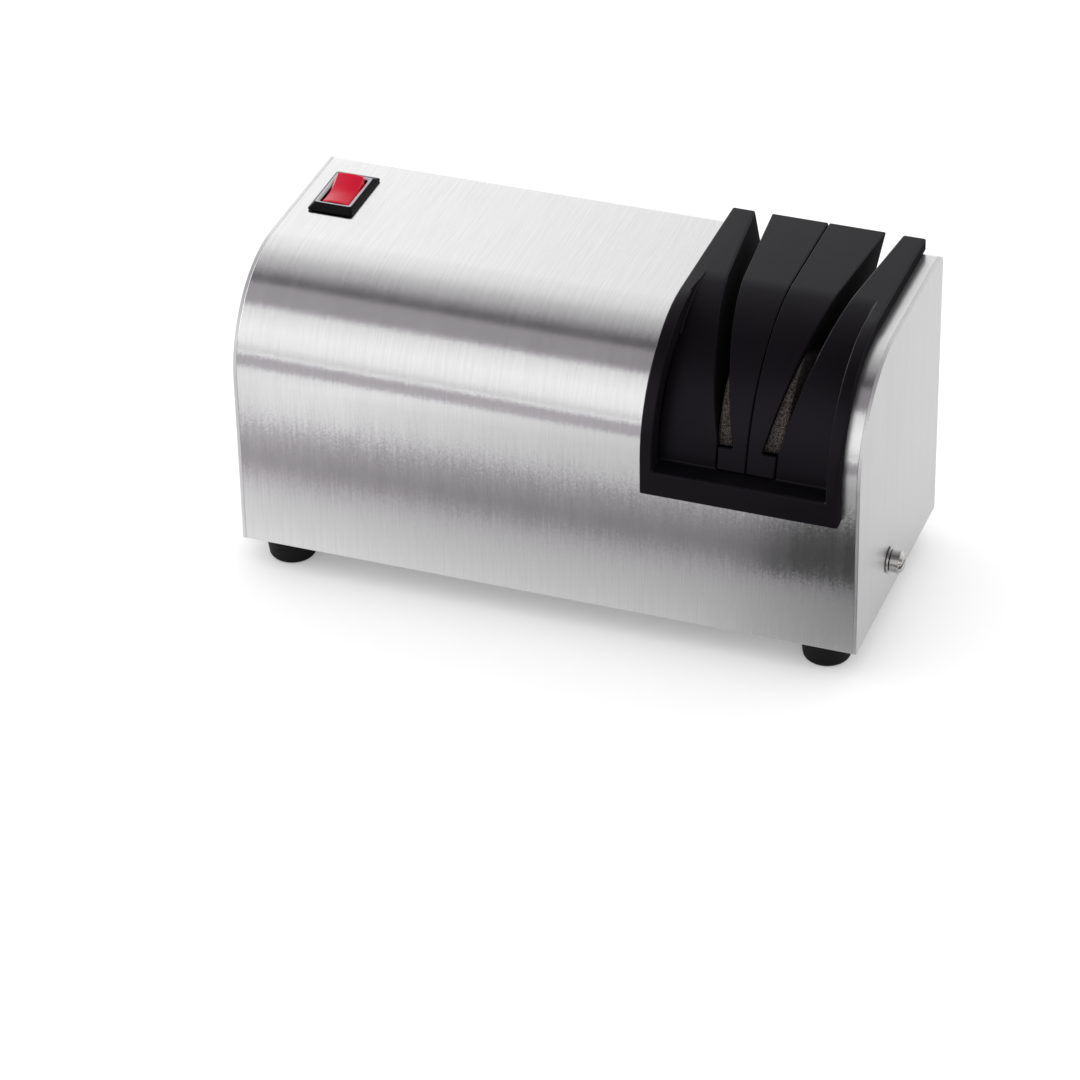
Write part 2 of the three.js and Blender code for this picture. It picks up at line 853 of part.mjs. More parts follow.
// A foot bracket at the front face of the stack
function motorBracket() {
  const backY = stackFrontY - seatGap;
  const frontY = backY - bracketThickness;
  const bottomZ = baseTopZ + seatGap;
  const fromX = motorMiddleX - bracketWidth / 2;
  const toX = motorMiddleX + bracketWidth / 2;
  const hole = rod(mountScrewRadius + seatGap, bottomZ - cutOverrun, bottomZ + bracketFoot, latheToZ);
  return box(fromX, toX, frontY, backY, bottomZ, bottomZ + bracketHeight)
    .add(box(fromX, toX, backY - bracketFoot, backY, bottomZ, bottomZ + bracketThickness))
    .subtract(hole.translate([motorMiddleX, mountScrewPlaces()[0], 0]));
}

// The same bracket turned round for the back face of the stack
function mirroredBracket() {
  return motorBracket()
    .mirror([0, 1, 0])
    .translate([0, stackFrontY + stackBackY, 0]);
}

function mountScrew(y) {
  const seatZ = baseTopZ + bracketThickness + seatGap * 2;
  return turned(
    [
      [0, baseLift - mountScrewTail],
      [mountScrewRadius, baseLift - mountScrewTail],
      [mountScrewRadius, seatZ],
      [mountHeadRadius, seatZ],
      [mountHeadRadius, seatZ + mountHeadHeight],
      [0, seatZ + mountHeadHeight],
    ],
    latheToZ,
  ).translate([motorMiddleX, y, 0]);
}

// Turning pieces lie on the x axis here: the shaft line carries them
function shaftEndX() {
  return wheelStackX() + wheelNutHeight + shaftTail;
}

function wheelStackX() {
  return wheelRecessFace + wheelWasherThickness + seatGap * 2;
}

function driveShaft() {
  return rod(shaftRadius, shaftStartX, guideCentreX + shaftEndX(), latheToX);
}

function rotorCore() {
  const half = stackLength / 2;
  const bore = shaftRadius + seatGap;
  return turned(
    [
      [bore, -half - endRingLength],
      [endRingRadius, -half - endRingLength],
      [endRingRadius, -half],
      [rotorRadius, -half],
      [rotorRadius, half],
      [endRingRadius, half],
      [endRingRadius, half + endRingLength],
      [bore, half + endRingLength],
    ],
    latheToX,
    wheelFacets,
  ).translate([motorMiddleX, 0, 0]);
}

function fanBlade(turnDegrees) {
  const reach = fanRadius - fanHubRadius / 2;
  const blade = new THREE.BoxGeometry(fanWidth, fanBladeThickness, reach);
  blade.rotateZ(THREE.MathUtils.degToRad(fanPitchDegrees));
  blade.translate(0, 0, fanRadius - reach / 2);
  blade.rotateX(THREE.MathUtils.degToRad(turnDegrees));
  return solid(blade);
}

function coolingFan() {
  const half = fanWidth / 2;
  let fan = rod(fanHubRadius, -half, half, latheToX);
  for (let i = 0; i < fanBladeCount; i += 1) {
    fan = fan.add(fanBlade((360 * i) / fanBladeCount));
  }
  return fan
    .subtract(rod(shaftRadius + seatGap, -half - cutOverrun, half + cutOverrun, latheToX))
    .translate([fanX + half, 0, 0]);
}

function spacerSleeve() {
  const fromX = motorMiddleX + bridgeOutsideX() + bridgeBossProud + seatGap;
  return ring(shaftRadius + seatGap, sleeveRadius, fromX, guideCentreX - wheelStackX(), latheToX);
}

function wheelHub() {
  const innerX = spacerThickness / 2 + seatGap;
  const bore = shaftRadius + seatGap;
  return turned(
    [
      [bore, innerX],
      [hubFlangeRadius, innerX],
      [hubFlangeRadius, innerX + hubFlangeThickness],
      [hubRadius, innerX + hubFlangeThickness],
      [hubRadius, wheelRecessFace],
      [bore, wheelRecessFace],
    ],
    latheToX,
    wheelFacets / 2,
  );
}

// The outer face is a shallow cone that stands proudest beside the hub
function abrasiveWheel() {
  const bore = hubRadius + seatGap;
  return turned(
    [
      [bore, wheelInnerFace],
      [wheelRadius - wheelBevel, wheelInnerFace],
      [wheelRadius, wheelInnerFace + wheelBevel],
      [wheelRadius, wheelRimFace - wheelBevel],
      [wheelRadius - wheelBevel, wheelRimFace],
      [wheelRecessRadius + wheelBevel, wheelHubFace],
      [wheelRecessRadius, wheelRecessFace],
      [bore, wheelRecessFace],
    ],
    latheToX,
    wheelFacets,
  );
}

function wheelSpacer() {
  return ring(shaftRadius + seatGap, spacerRadius, -spacerThickness / 2, spacerThickness / 2, latheToX);
}

function wheelWasher() {
  const fromX = wheelRecessFace + seatGap;
  return ring(shaftRadius + seatGap, wheelWasherRadius, fromX, fromX + wheelWasherThickness, latheToX);
}

function wheelNut() {
  const fromX = wheelStackX();
  return rod(wheelNutRadius, fromX, fromX + wheelNutHeight, latheToX, hexFacets).subtract(
    rod(shaftRadius + seatGap, fromX - cutOverrun, fromX + wheelNutHeight + cutOverrun, latheToX),
  );
}

// The planes of the slot walls lean outwards as they rise and open towards the back:
// a wall's x is its mouth, less the toe for each step forward and the lean for each step down
function wallPlane(mouth, toe, lean) {
  return { start: mouth - slotDatumY * toe - guideTopZ * lean, toe, lean };
}

const outerWall = wallPlane(slotOuterMouth, outerToeShare, outerLeanShare);
const innerWall = wallPlane(slotInnerMouth, innerToeShare, innerLeanShare);
const floorEdge = {
  start: outerWall.start + slotFloorZ * outerLeanShare,
  toe: outerToeShare,
  lean: 0,
};

function keepOutside(shape, wall, shift) {
  const size = Math.hypot(1, wall.toe, wall.lean);
  return shape.trimByPlane([1, -wall.toe, -wall.lean], (wall.start + shift) / size);
}

function keepInside(shape, wall, shift) {
  const size = Math.hypot(1, wall.toe, wall.lean);
  return shape.trimByPlane([-1, wall.toe, wall.lean], -(wall.start + shift) / size);
}

function crownTop(inset) {
  const radius = crownRadius - inset;
  const height = guideTopZ - inset - crownCentreZ;
  return THREE.MathUtils.radToDeg(Math.asin(height / radius));
}

// The profile of the raised blocks: flat on top, and round down the front
function crownProfile(inset, bottomZ) {
  const backY = housingDepth - inset;
  const front = arc(crownCentreY, crownCentreZ, crownRadius - inset, 180 - crownTop(inset), 180, crownSteps);
  return [
    point(backY, bottomZ),
    point(backY, guideTopZ - inset),
    ...front,
    point(crownCentreY - crownRadius + inset, bottomZ),
  ].filter((p, i) => i < 2 || p.y >= bottomZ);
}

// The profile of the rims, which stand on the housing by the gap and follow its bend
function rimProfile(insideRadius, insideTopZ, bottomZ) {
  const bendZ = housingHeight - frontBendRadius;
  return [
    point(housingDepth, insideTopZ),
    point(housingDepth, guideTopZ),
    ...arc(frontBendRadius, bendZ, frontBendRadius + guideProud, 90, 180, bendSteps),
    point(-guideProud, bottomZ),
    point(frontBendRadius - insideRadius, bottomZ),
    ...arc(frontBendRadius, bendZ, insideRadius, 180, 90, bendSteps),
  ];
}

// The room in which a wheel turns, about the shaft's axis
function wheelRoom() {
  return rod(chamberRadius, -cutOverrun, chamberX, latheToX, wheelFacets).translate([0, shaftY, shaftZ]);
}

// The right half of the guide's frame, which is mirrored for the left half
function frameHalf() {
  const outside = frontBendRadius + seatGap;
  const inside = frontBendRadius - guideWall;
  const wallShift = slotWall * Math.hypot(1, outerToeShare, outerLeanShare);
  const rim = slab(rimProfile(outside, housingHeight + seatGap, guideBottomZ), rimInnerX, guideHalfWidth);
  const skirt = slab(rimProfile(inside, housingHeight - guideWall, guideSillZ), rimInnerX, skirtX);
  const blockSolid = keepOutside(slab(crownProfile(0, guideSillZ), 0, skirtX), outerWall, 0);
  const cavity = keepOutside(
    slab(crownProfile(guideWall, -cutOverrun), 0, rimInnerX - guideWall),
    outerWall,
    wallShift,
  );
  const belowFloor = keepInside(
    box(0, guideHalfWidth, -guideProud, housingDepth + cutOverrun, ledgeZ, slotFloorZ + seatGap),
    floorEdge,
    seatGap,
  );
  const underside = box(
    -cutOverrun,
    skirtX + cutOverrun,
    frontBarBackY,
    rearBarFrontY,
    -cutOverrun,
    sideWallBottomZ,
  );
  const block = blockSolid.subtract(cavity).subtract(belowFloor).subtract(wheelRoom());
  const sideWall = slab(crownProfile(0, guideSillZ), rimInnerX - guideWall, skirtX);
  const frontBar = box(0, skirtX, -guideProud, frontBarBackY, guideSillZ, ledgeZ);
  const apron = box(0, guideHalfWidth, -guideProud, -seatGap, guideBottomZ, ledgeZ);
  const rearBar = box(0, skirtX, rearBarFrontY, housingDepth, guideSillZ, ledgeZ);
  return block
    .add(sideWall)
    .add(skirt)
    .subtract(underside)
    .add(rim)
    .add(frontBar)
    .add(apron)
    .add(rearBar);
}

function guideFrame() {
  const half = frameHalf();
  let frame = half.add(half.mirror([1, 0, 0]));
  for (const side of [-1, 1]) {
    for (const [x, y] of guardScrewPlaces()) {
      const hole = rod(guardScrewRadius + seatGap, guideSillZ - cutOverrun, ledgeZ + cutOverrun, latheToZ);
      frame = frame.subtract(hole.translate([side * x, y, 0]));
    }
  }
  return frame;
}

function guardScrewPlaces() {
  return [
    [guardScrewX, guardScrewFrontY],
    [guardScrewRearX, guardScrewRearY],
  ];
}

// The right half of the hood over the wheels, which also holds the floor of its slot
function wheelGuard() {
  const bottomZ = ledgeZ + seatGap;
  const seamX = seatGap / 2;
  const whole = slab(crownProfile(0, bottomZ), seamX, rimInnerX);
  const upper = keepInside(whole, innerWall, 0);
  const sump = box(
    -cutOverrun,
    guideHalfWidth,
    floorFrontY + floorLip,
    shaftY,
    slotFloorZ - floorSumpDepth,
    slotFloorZ + cutOverrun,
  );
  const lower = keepInside(whole, floorEdge, 0).trimByPlane([0, 0, -1], -slotFloorZ).subtract(sump);
  const mouth = box(
    -cutOverrun,
    chamberX,
    shaftY - chamberRadius,
    shaftY + chamberRadius,
    -cutOverrun,
    shaftZ,
  );
  const notch = box(
    -cutOverrun,
    guideHalfWidth,
    shaftY - chamberRadius,
    shaftY + shaftNotchReach,
    -cutOverrun,
    shaftZ + shaftNotchRise,
  );
  let guard = upper
    .add(lower)
    .subtract(wheelRoom())
    .subtract(mouth)
    .subtract(notch);
  for (const [x, y] of guardScrewPlaces()) {
    const depth = bottomZ + guardScrewReach + seatGap;
    const hole = rod(guardScrewRadius + seatGap, bottomZ - cutOverrun, depth, latheToZ);
    guard = guard.subtract(hole.translate([x, y, 0]));
  }
  return guard;
}

function guardScrew() {
  const seatZ = guideSillZ - seatGap;
  return turned(
    [
      [0, seatZ - guardHeadHeight],
      [guardHeadRadius, seatZ - guardHeadHeight],
      [guardHeadRadius, seatZ],
      [guardScrewRadius, seatZ],
      [guardScrewRadius, ledgeZ + guardScrewReach],
      [0, ledgeZ + guardScrewReach],
    ],
    latheToZ,
  );
}

function mirroredX(shape, middleX) {
  return shape.mirror([1, 0, 0]).translate([2 * middleX, 0, 0]);
}

function at(x, y, z, ...children) {
  const group = new THREE.Group();
  group.position.set(x, y, z);
  group.add(...children);
  return group;
}

function housingPieces() {
  const panel = endPanel();
  const screw = coverScrew();
  const washer = coverWasher();
  const feet = footPlaces().map(([x, y], i) =>
    at(
      x,
      y,
      0,
      piece(`foot_${i + 1}`, foot(), looks.rubber),
      piece(`foot_screw_${i + 1}`, footScrew(), looks.zinc),
    ),
  );
  return [
    piece("housing_wrap", housingWrap(), looks.steel),
    piece("end_panel_left", panel, looks.steel),
    piece("end_panel_right", mirroredX(panel, housingMiddleX), looks.steel),
    piece("base_plate", basePlate(), looks.zinc),
    piece("cover_screw_left", screw, looks.zinc),
    piece("cover_screw_right", mirroredX(screw, housingMiddleX), looks.zinc),
    piece("cover_washer_left", washer, looks.zinc),
    piece("cover_washer_right", mirroredX(washer, housingMiddleX), looks.zinc),
    ...feet,
  ];
}

function switchPieces() {
  const rocker = at(0, 0, 0, piece("switch_rocker", switchRocker(), looks.redPlastic));
  rocker.rotation.x = THREE.MathUtils.degToRad(rockerThrowDegrees / 2);
  return at(
    switchX,
    switchY,
    housingHeight - rockerPivotDrop,
    rocker,
    piece("switch_housing", switchHousing(), looks.blackPlastic),
    piece("switch_terminal_front", switchTerminal(-terminalSpread), looks.brass),
    piece("switch_terminal_rear", switchTerminal(terminalSpread), looks.brass),
  );
}

function cordPieces() {
  return at(
    glandX,
    housingDepth,
    glandZ,
    piece("cord_gland", cordGland(), looks.blackPlastic),
    piece("cord_gland_nut", glandNut(), looks.blackPlastic),
  );
}

function motorPieces() {
  const bridge = bearingBridge().translate([motorMiddleX, 0, 0]);
  const bush = bearing().translate([motorMiddleX, 0, 0]);
  const [frontY, rearY] = boltPlaces();
  const [screwFrontY, screwRearY] = mountScrewPlaces();
  return [
    piece("stator_core", statorStack(), looks.laminations),
    piece("coil_bobbin", coilBobbin(), looks.nylon),
    piece("coil_winding", coilWinding(), looks.copper),
    piece("bearing_bridge_left", bridge, looks.aluminium),
    piece("bearing_bridge_right", mirroredX(bridge, motorMiddleX), looks.aluminium),
    piece("bearing_left", bush, looks.bronze),
    piece("bearing_right", mirroredX(bush, motorMiddleX), looks.bronze),
    piece("motor_bolt_front", motorBolt(frontY), looks.zinc),
    piece("motor_bolt_rear", motorBolt(rearY), looks.zinc),
    piece("motor_nut_front", motorNut(frontY), looks.zinc),
    piece("motor_nut_rear", motorNut(rearY), looks.zinc),
    piece("motor_bracket_front", motorBracket(), looks.zinc),
    piece("motor_bracket_rear", mirroredBracket(), looks.zinc),
    piece("mount_screw_front", mountScrew(screwFrontY), looks.zinc),
    piece("mount_screw_rear", mountScrew(screwRearY), looks.zinc),
    piece("terminal_block", terminalBlock(), looks.nylon),
  ];
}

function rotorPieces() {
  const hub = wheelHub();
  const wheel = abrasiveWheel();
  const washer = wheelWasher();
  const wheels = at(
    guideCentreX,
    0,
    0,
    piece("wheel_hub_left", mirroredX(hub, 0), looks.aluminium),
    piece("wheel_hub_right", hub, looks.aluminium),
    piece("sharpening_wheel_left", mirroredX(wheel, 0), looks.abrasive),
    piece("sharpening_wheel_right", wheel, looks.abrasive),
    piece("wheel_spacer", wheelSpacer(), looks.aluminium),
    piece("wheel_washer_left", mirroredX(washer, 0), looks.zinc),
    piece("wheel_washer_right", washer, looks.zinc),
    piece("wheel_nut", wheelNut(), looks.zinc),
  );
  return at(
    0,
    shaftY,
    shaftZ,
    piece("drive_shaft", driveShaft(), looks.zinc),
    piece("rotor_core", rotorCore(), looks.laminations),
    piece("cooling_fan", coolingFan(), looks.nylon),
    piece("spacer_sleeve", spacerSleeve(), looks.aluminium),
    wheels,
  );
}

function guidePieces() {
  const guard = wheelGuard();
  const guide = at(
    guideCentreX,
    0,
    0,
    piece("guide_frame", guideFrame(), looks.blackPlastic),
    piece("wheel_guard_left", mirroredX(guard, 0), looks.blackPlastic),
    piece("wheel_guard_right", guard, looks.blackPlastic),
  );
  for (const [sideName, side] of [["left", -1], ["right", 1]]) {
    for (const [i, [x, y]] of guardScrewPlaces().entries()) {
      const name = `guard_screw_${i === 0 ? "front" : "rear"}_${sideName}`;
      guide.add(at(side * x, y, 0, piece(name, guardScrew(), looks.zinc)));
    }
  }
  return guide;
}

const sharpener = at(
  -housingMiddleX,
  -housingMiddleY,
  footHeight,
  ...housingPieces(),
  switchPieces(),
  cordPieces(),
  ...motorPieces(),
  rotorPieces(),
  guidePieces(),
);

export default sharpener;
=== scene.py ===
import json
import math
import bpy
from mathutils import Matrix, Vector


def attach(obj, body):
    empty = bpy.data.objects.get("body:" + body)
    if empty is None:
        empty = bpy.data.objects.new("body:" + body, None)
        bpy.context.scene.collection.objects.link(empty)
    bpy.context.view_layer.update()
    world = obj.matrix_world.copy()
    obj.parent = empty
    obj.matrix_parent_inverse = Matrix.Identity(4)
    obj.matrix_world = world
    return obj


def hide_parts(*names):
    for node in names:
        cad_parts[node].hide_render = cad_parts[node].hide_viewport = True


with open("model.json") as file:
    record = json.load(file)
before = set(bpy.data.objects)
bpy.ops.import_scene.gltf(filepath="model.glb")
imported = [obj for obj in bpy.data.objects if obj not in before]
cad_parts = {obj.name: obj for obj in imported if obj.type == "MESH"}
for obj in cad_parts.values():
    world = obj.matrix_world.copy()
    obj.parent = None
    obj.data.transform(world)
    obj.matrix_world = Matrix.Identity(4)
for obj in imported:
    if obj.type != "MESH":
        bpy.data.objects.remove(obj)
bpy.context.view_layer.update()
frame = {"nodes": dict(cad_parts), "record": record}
SLOTS = {row["node"]: row["material_slot"] for row in frame["record"]["subparts"]}

MM = 0.001
WHITE = (1.0, 1.0, 1.0, 1.0)

# The housing in millimetres, on the bench: x from its left end, y from its front face back,
# z up from its lower edge
HOUSING_LENGTH = 230.0
HOUSING_DEPTH = 98.0
HOUSING_HEIGHT = 106.0
FOOT_HEIGHT = 11.0
BENCH_ORIGIN = Vector((-HOUSING_LENGTH / 2, -HOUSING_DEPTH / 2, FOOT_HEIGHT))
FRONT_BEND = 39.0
BACK_BEND = 3.0
BEND_STEPS = 56
SMALL_BEND_STEPS = 8

# The bent sheet stops short of both ends of the housing, where the end panels stand
SHEET = 1.2
WRAP_END = 1.23
WRAP_EDGE = 0.15

# Openings in the sheet: one for the guide, and a square one that the gland's flange covers
CUTOUT_LEFT = 155.7
CUTOUT_RIGHT = 220.7
CUTOUT_BOTTOM = 57.0
GLAND_X = 22.0
GLAND_Z = 18.0
GLAND_HOLE_HALF = 5.7

# Switch: its hole, body, collar and well as (width, depth), and the radii of their corners
SWITCH_PLACE = Vector((15.3, 70.5, 106.3))
SWITCH_HOLE = (13.8, 24.4)
SWITCH_BODY = (13.2, 23.8)
SWITCH_DEPTH = 24.0
BODY_CORNER = 0.8
BEZEL_FOOT = (17.0, 28.6)
BEZEL_FOOT_CORNER = 1.0
BEZEL_TOP = (13.8, 21.8)
BEZEL_TOP_CORNER = 0.9
BEZEL_HEIGHT = 1.9
BEZEL_LIP = 0.5
BEZEL_EDGE = 0.25
WELL = (11.0, 19.4)
WELL_CORNER = 0.6
WELL_TOP_CORNER = 0.7
WELL_BEVEL = 0.5
WELL_DEPTH = 9.5
CORNER_STEPS = 6

# Rocker: lengths from its pivot, and the columns of points across it
PIVOT_PLACE = Vector((15.3, 70.5, 104.3))
ROCKER_WIDTH = 10.5
ROCKER_REACH = 8.2
ROCKER_FACE = 4.0
ROCKER_SKIRT = 3.0
ROCKER_TUCK = 1.1
ROCKER_KEEL = 6.0
ROCKER_TILT = 12.0
ROCKER_SOFTNESS = 2.0
ROCKER_EDGE = 1.1
ROCKER_CROWN = 0.7
ROCKER_STEPS = 16
ROCKER_COLUMN_SHARES = (-1.0, -0.85, -0.6, -0.3, 0.0, 0.3, 0.6, 0.85, 1.0)

# Feet: their places, and the radii of the turned profile with its heights below the housing
FOOT_INSET_X = 14.0
FOOT_INSET_Y = 12.0
FOOT_SEGMENTS = 48
FOOT_TOP = 0.1
FOOT_BORE = 2.2
FOOT_POCKET = 4.6
FOOT_POCKET_TOP = -4.9
FOOT_TREAD = 6.4
FOOT_ROUND = 2.2
FOOT_ROUND_DEGREES = 82
FOOT_ROUND_STEPS = 8
FOOT_SHOULDER = [(9.5, -1.6), (9.6, -1.0), (9.55, -0.2), (9.3, FOOT_TOP)]

# The camera stands where the photograph was taken from
PHOTO_SIZE = 1080
CAMERA_PLACE = Vector((476.75, -1315.0, 940.97)) * MM
CAMERA_AZIMUTH = 20.67
CAMERA_ELEVATION = 33.83
CAMERA_ROLL = -1.19
FOCAL_PIXELS = 4651.0
SENSOR_WIDTH = 36.0
CLIP_START = 0.05


def linear(hex_colour):
    """An sRGB hex colour as the linear values that a shader takes."""
    values = []
    for start in (1, 3, 5):
        share = int(hex_colour[start:start + 2], 16) / 255
        values.append(share / 12.92 if share <= 0.04045 else ((share + 0.055) / 1.055) ** 2.4)
    return (*values, 1.0)


def add(tree, kind, inputs=None, **settings):
    """Adds one node, sets its properties, and fills or links its inputs."""
    node = tree.nodes.new(kind)
    for name, value in settings.items():
        setattr(node, name, value)
    for name, value in (inputs or {}).items():
        if isinstance(value, bpy.types.NodeSocket):
            tree.links.new(value, node.inputs[name])
        else:
            node.inputs[name].default_value = value
    return node


def calculated(tree, operation, *values):
    """One step of arithmetic on numbers or sockets."""
    return add(tree, "ShaderNodeMath", dict(enumerate(values)), operation=operation).outputs[0]


def mapped(tree, value, source, target=(0.0, 1.0), **settings):
    """A value carried over from one range to another."""
    return add(tree, "ShaderNodeMapRange", {
        "Value": value,
        "From Min": source[0], "From Max": source[1],
        "To Min": target[0], "To Max": target[1],
    }, **settings).outputs["Result"]


def ramp(tree, value, stops):
    """The colour at a value among (position, linear colour) stops."""
    node = add(tree, "ShaderNodeValToRGB", {"Fac": value})
    elements = node.color_ramp.elements
    while len(elements) > 1:
        elements.remove(elements[-1])
    elements[0].position = stops[0][0]
    elements[0].color = stops[0][1]
    for position, colour in stops[1:]:
        elements.new(position).color = colour
    return node.outputs["Color"]


def stretched(tree, lengths):
    """Object coordinates counted in the given lengths, in millimetres, along x, y and z."""
    place = add(tree, "ShaderNodeTexCoord")
    return add(tree, "ShaderNodeMapping", {
        "Vector": place.outputs["Object"],
        "Scale": [1 / (length * MM) for length in lengths],
    }, vector_type="POINT").outputs["Vector"]


def noise(tree, lengths, detail, roughness=0.5):
    """Noise whose spots have the given lengths, in millimetres, along x, y and z."""
    return add(tree, "ShaderNodeTexNoise", {
        "Vector": stretched(tree, lengths), "Scale": 1.0, "Detail": detail, "Roughness": roughness,
    }).outputs["Fac"]


def new_material(name):
    """An empty material, and its node tree."""
    material = bpy.data.materials.new(name)
    material.use_nodes = True
    material.node_tree.nodes.clear()
    return material, material.node_tree


def surface(tree, inputs):
    """Ends a material in one shader with these inputs."""
    shader = add(tree, "ShaderNodeBsdfPrincipled", inputs)
    add(tree, "ShaderNodeOutputMaterial", {"Surface": shader.outputs["BSDF"]})


# The ranges of noise that are carried over: for tones and roughness, then for the steel's
# roughness, and for its swings
NOISE_ENDS = (0.3, 0.7)
SWEEP_ENDS = (0.35, 0.65)
SWING_ENDS = (0.25, 0.75)


def two_tones(tree, value, dark, pale):
    """A colour that noise carries from a dark tone to a pale one."""
    return ramp(tree, value, [(NOISE_ENDS[0], linear(dark)), (NOISE_ENDS[1], linear(pale))])


# Brushed steel: its real hairs are finer than a pixel, so they are drawn several times coarser.
# The swings say how far, in radians, the brushing turns a reflection: its fine grain, and its
# longer scratches
STEEL_TONES = ("#DCDBDC", "#E3E2E3")
STEEL_ANISOTROPY = 0.8
HAIR_BUMP = 0.08
HAIR_DEPTH = 0.02
SWEEP_TIMES = 12
GRAIN_SWING = 0.012
FRINGE_SWING = 0.008


def swing(tree, lengths, most):
    """Noise that swings both ways round zero, by not much more than the given amount."""
    return mapped(tree, noise(tree, lengths, detail=1.0), SWING_ENDS, (-most, most), clamp=False)


def tilted_normal(tree, normal, axis, amount):
    """A normal turned round an axis by a small amount, in radians."""
    across = add(tree, "ShaderNodeVectorMath", {0: axis, 1: normal}, operation="CROSS_PRODUCT")
    offset = add(tree, "ShaderNodeVectorMath", {0: across.outputs[0], "Scale": amount}, operation="SCALE")
    turned = add(tree, "ShaderNodeVectorMath", {0: normal, 1: offset.outputs[0]}, operation="ADD")
    return add(tree, "ShaderNodeVectorMath", {0: turned.outputs[0]}, operation="NORMALIZE").outputs[0]


def brushed_stainless(name, streak, grain, fringe, tangent, smooth, coarse):
    """Stainless sheet, belt-brushed: fine hairs, and reflections with frayed borders."""
    material, tree = new_material(name)
    hair = noise(tree, streak, detail=2.0, roughness=0.6)
    sweep = noise(tree, [length * SWEEP_TIMES for length in streak], detail=2.0)
    bump = add(tree, "ShaderNodeBump", {
        "Height": hair, "Strength": HAIR_BUMP, "Distance": HAIR_DEPTH * MM,
    })
    amount = calculated(
        tree, "ADD", swing(tree, grain, GRAIN_SWING), swing(tree, fringe, FRINGE_SWING),
    )
    along = add(tree, "ShaderNodeCombineXYZ", dict(zip("XYZ", tangent))).outputs["Vector"]
    surface(tree, {
        "Base Color": two_tones(tree, hair, *STEEL_TONES),
        "Metallic": 1.0,
        "Roughness": mapped(tree, sweep, SWEEP_ENDS, (smooth, coarse)),
        "Anisotropic": STEEL_ANISOTROPY,
        "Tangent": along,
        "Normal": tilted_normal(tree, bump.outputs["Normal"], along, amount),
    })
    return material


# Mouldings: how far their roughness varies, how strong their grain is, how many times larger
# their cloudy tones are, and how far sideways a wall faces where its dulling starts and is full
MOULD_SPREAD = 0.05
MOULD_BUMP = 0.35
CLOUD_TIMES = 60
WALL_ENDS = (0.8, 0.95)


def moulded(
    name, dark, pale, roughness, grain, depth, specular=0.5, gloss_tint="#FFFFFF", wall_dulling=0.0,
):
    """Plastic or rubber with the spark-eroded grain of its mould, duller on side walls if asked."""
    material, tree = new_material(name)
    spots = noise(tree, (grain, grain, grain), detail=2.0)
    cloud = noise(tree, [grain * CLOUD_TIMES] * 3, detail=1.0)
    rough = mapped(tree, spots, NOISE_ENDS, (roughness - MOULD_SPREAD, roughness + MOULD_SPREAD))
    place = add(tree, "ShaderNodeTexCoord")
    facing = add(tree, "ShaderNodeSeparateXYZ", {"Vector": place.outputs["Normal"]})
    sideways = calculated(tree, "ABSOLUTE", facing.outputs["X"])
    dulling = mapped(tree, sideways, WALL_ENDS, (0.0, wall_dulling))
    bump = add(tree, "ShaderNodeBump", {
        "Height": spots, "Strength": MOULD_BUMP, "Distance": depth * MM,
    })
    surface(tree, {
        "Base Color": two_tones(tree, cloud, dark, pale),
        "Roughness": calculated(tree, "ADD", rough, dulling),
        "Specular IOR Level": specular,
        "Specular Tint": linear(gloss_tint),
        "Normal": bump.outputs["Normal"],
    })
    return material


# The roughness of plain metal varies by this share of it
METAL_SPREAD = 0.2


def worked_metal(name, dark, pale, roughness, grain):
    """Plain metal with the faint mottle of its plating, casting or turning."""
    material, tree = new_material(name)
    spots = noise(tree, (grain, grain, grain), detail=3.0)
    spread = (roughness * (1 - METAL_SPREAD), roughness * (1 + METAL_SPREAD))
    surface(tree, {
        "Base Color": two_tones(tree, spots, dark, pale),
        "Metallic": 1.0,
        "Roughness": mapped(tree, spots, NOISE_ENDS, spread),
    })
    return material


# Grit: its size and depth in millimetres, and its tones from the middle of a grain outwards
GRIT_SIZE = 0.6
GRIT_BUMP = 0.6
GRIT_DEPTH = 0.15
GRIT_TONES = [(0.0, "#827A78"), (0.35, "#524B49"), (0.75, "#262322")]


def bonded_abrasive(name):
    """Aluminium oxide grit in a resin bond: dull brown-grey, with paler and darker grains."""
    material, tree = new_material(name)
    grit = add(tree, "ShaderNodeTexVoronoi", {
        "Vector": stretched(tree, (GRIT_SIZE, GRIT_SIZE, GRIT_SIZE)), "Scale": 1.0,
    }).outputs["Distance"]
    bump = add(tree, "ShaderNodeBump", {
        "Height": grit, "Strength": GRIT_BUMP, "Distance": GRIT_DEPTH * MM,
    })
    surface(tree, {
        "Base Color": ramp(tree, grit, [(position, linear(tone)) for position, tone in GRIT_TONES]),
        "Roughness": 0.95,
        "Specular IOR Level": 0.3,
        "Normal": bump.outputs["Normal"],
    })
    return material


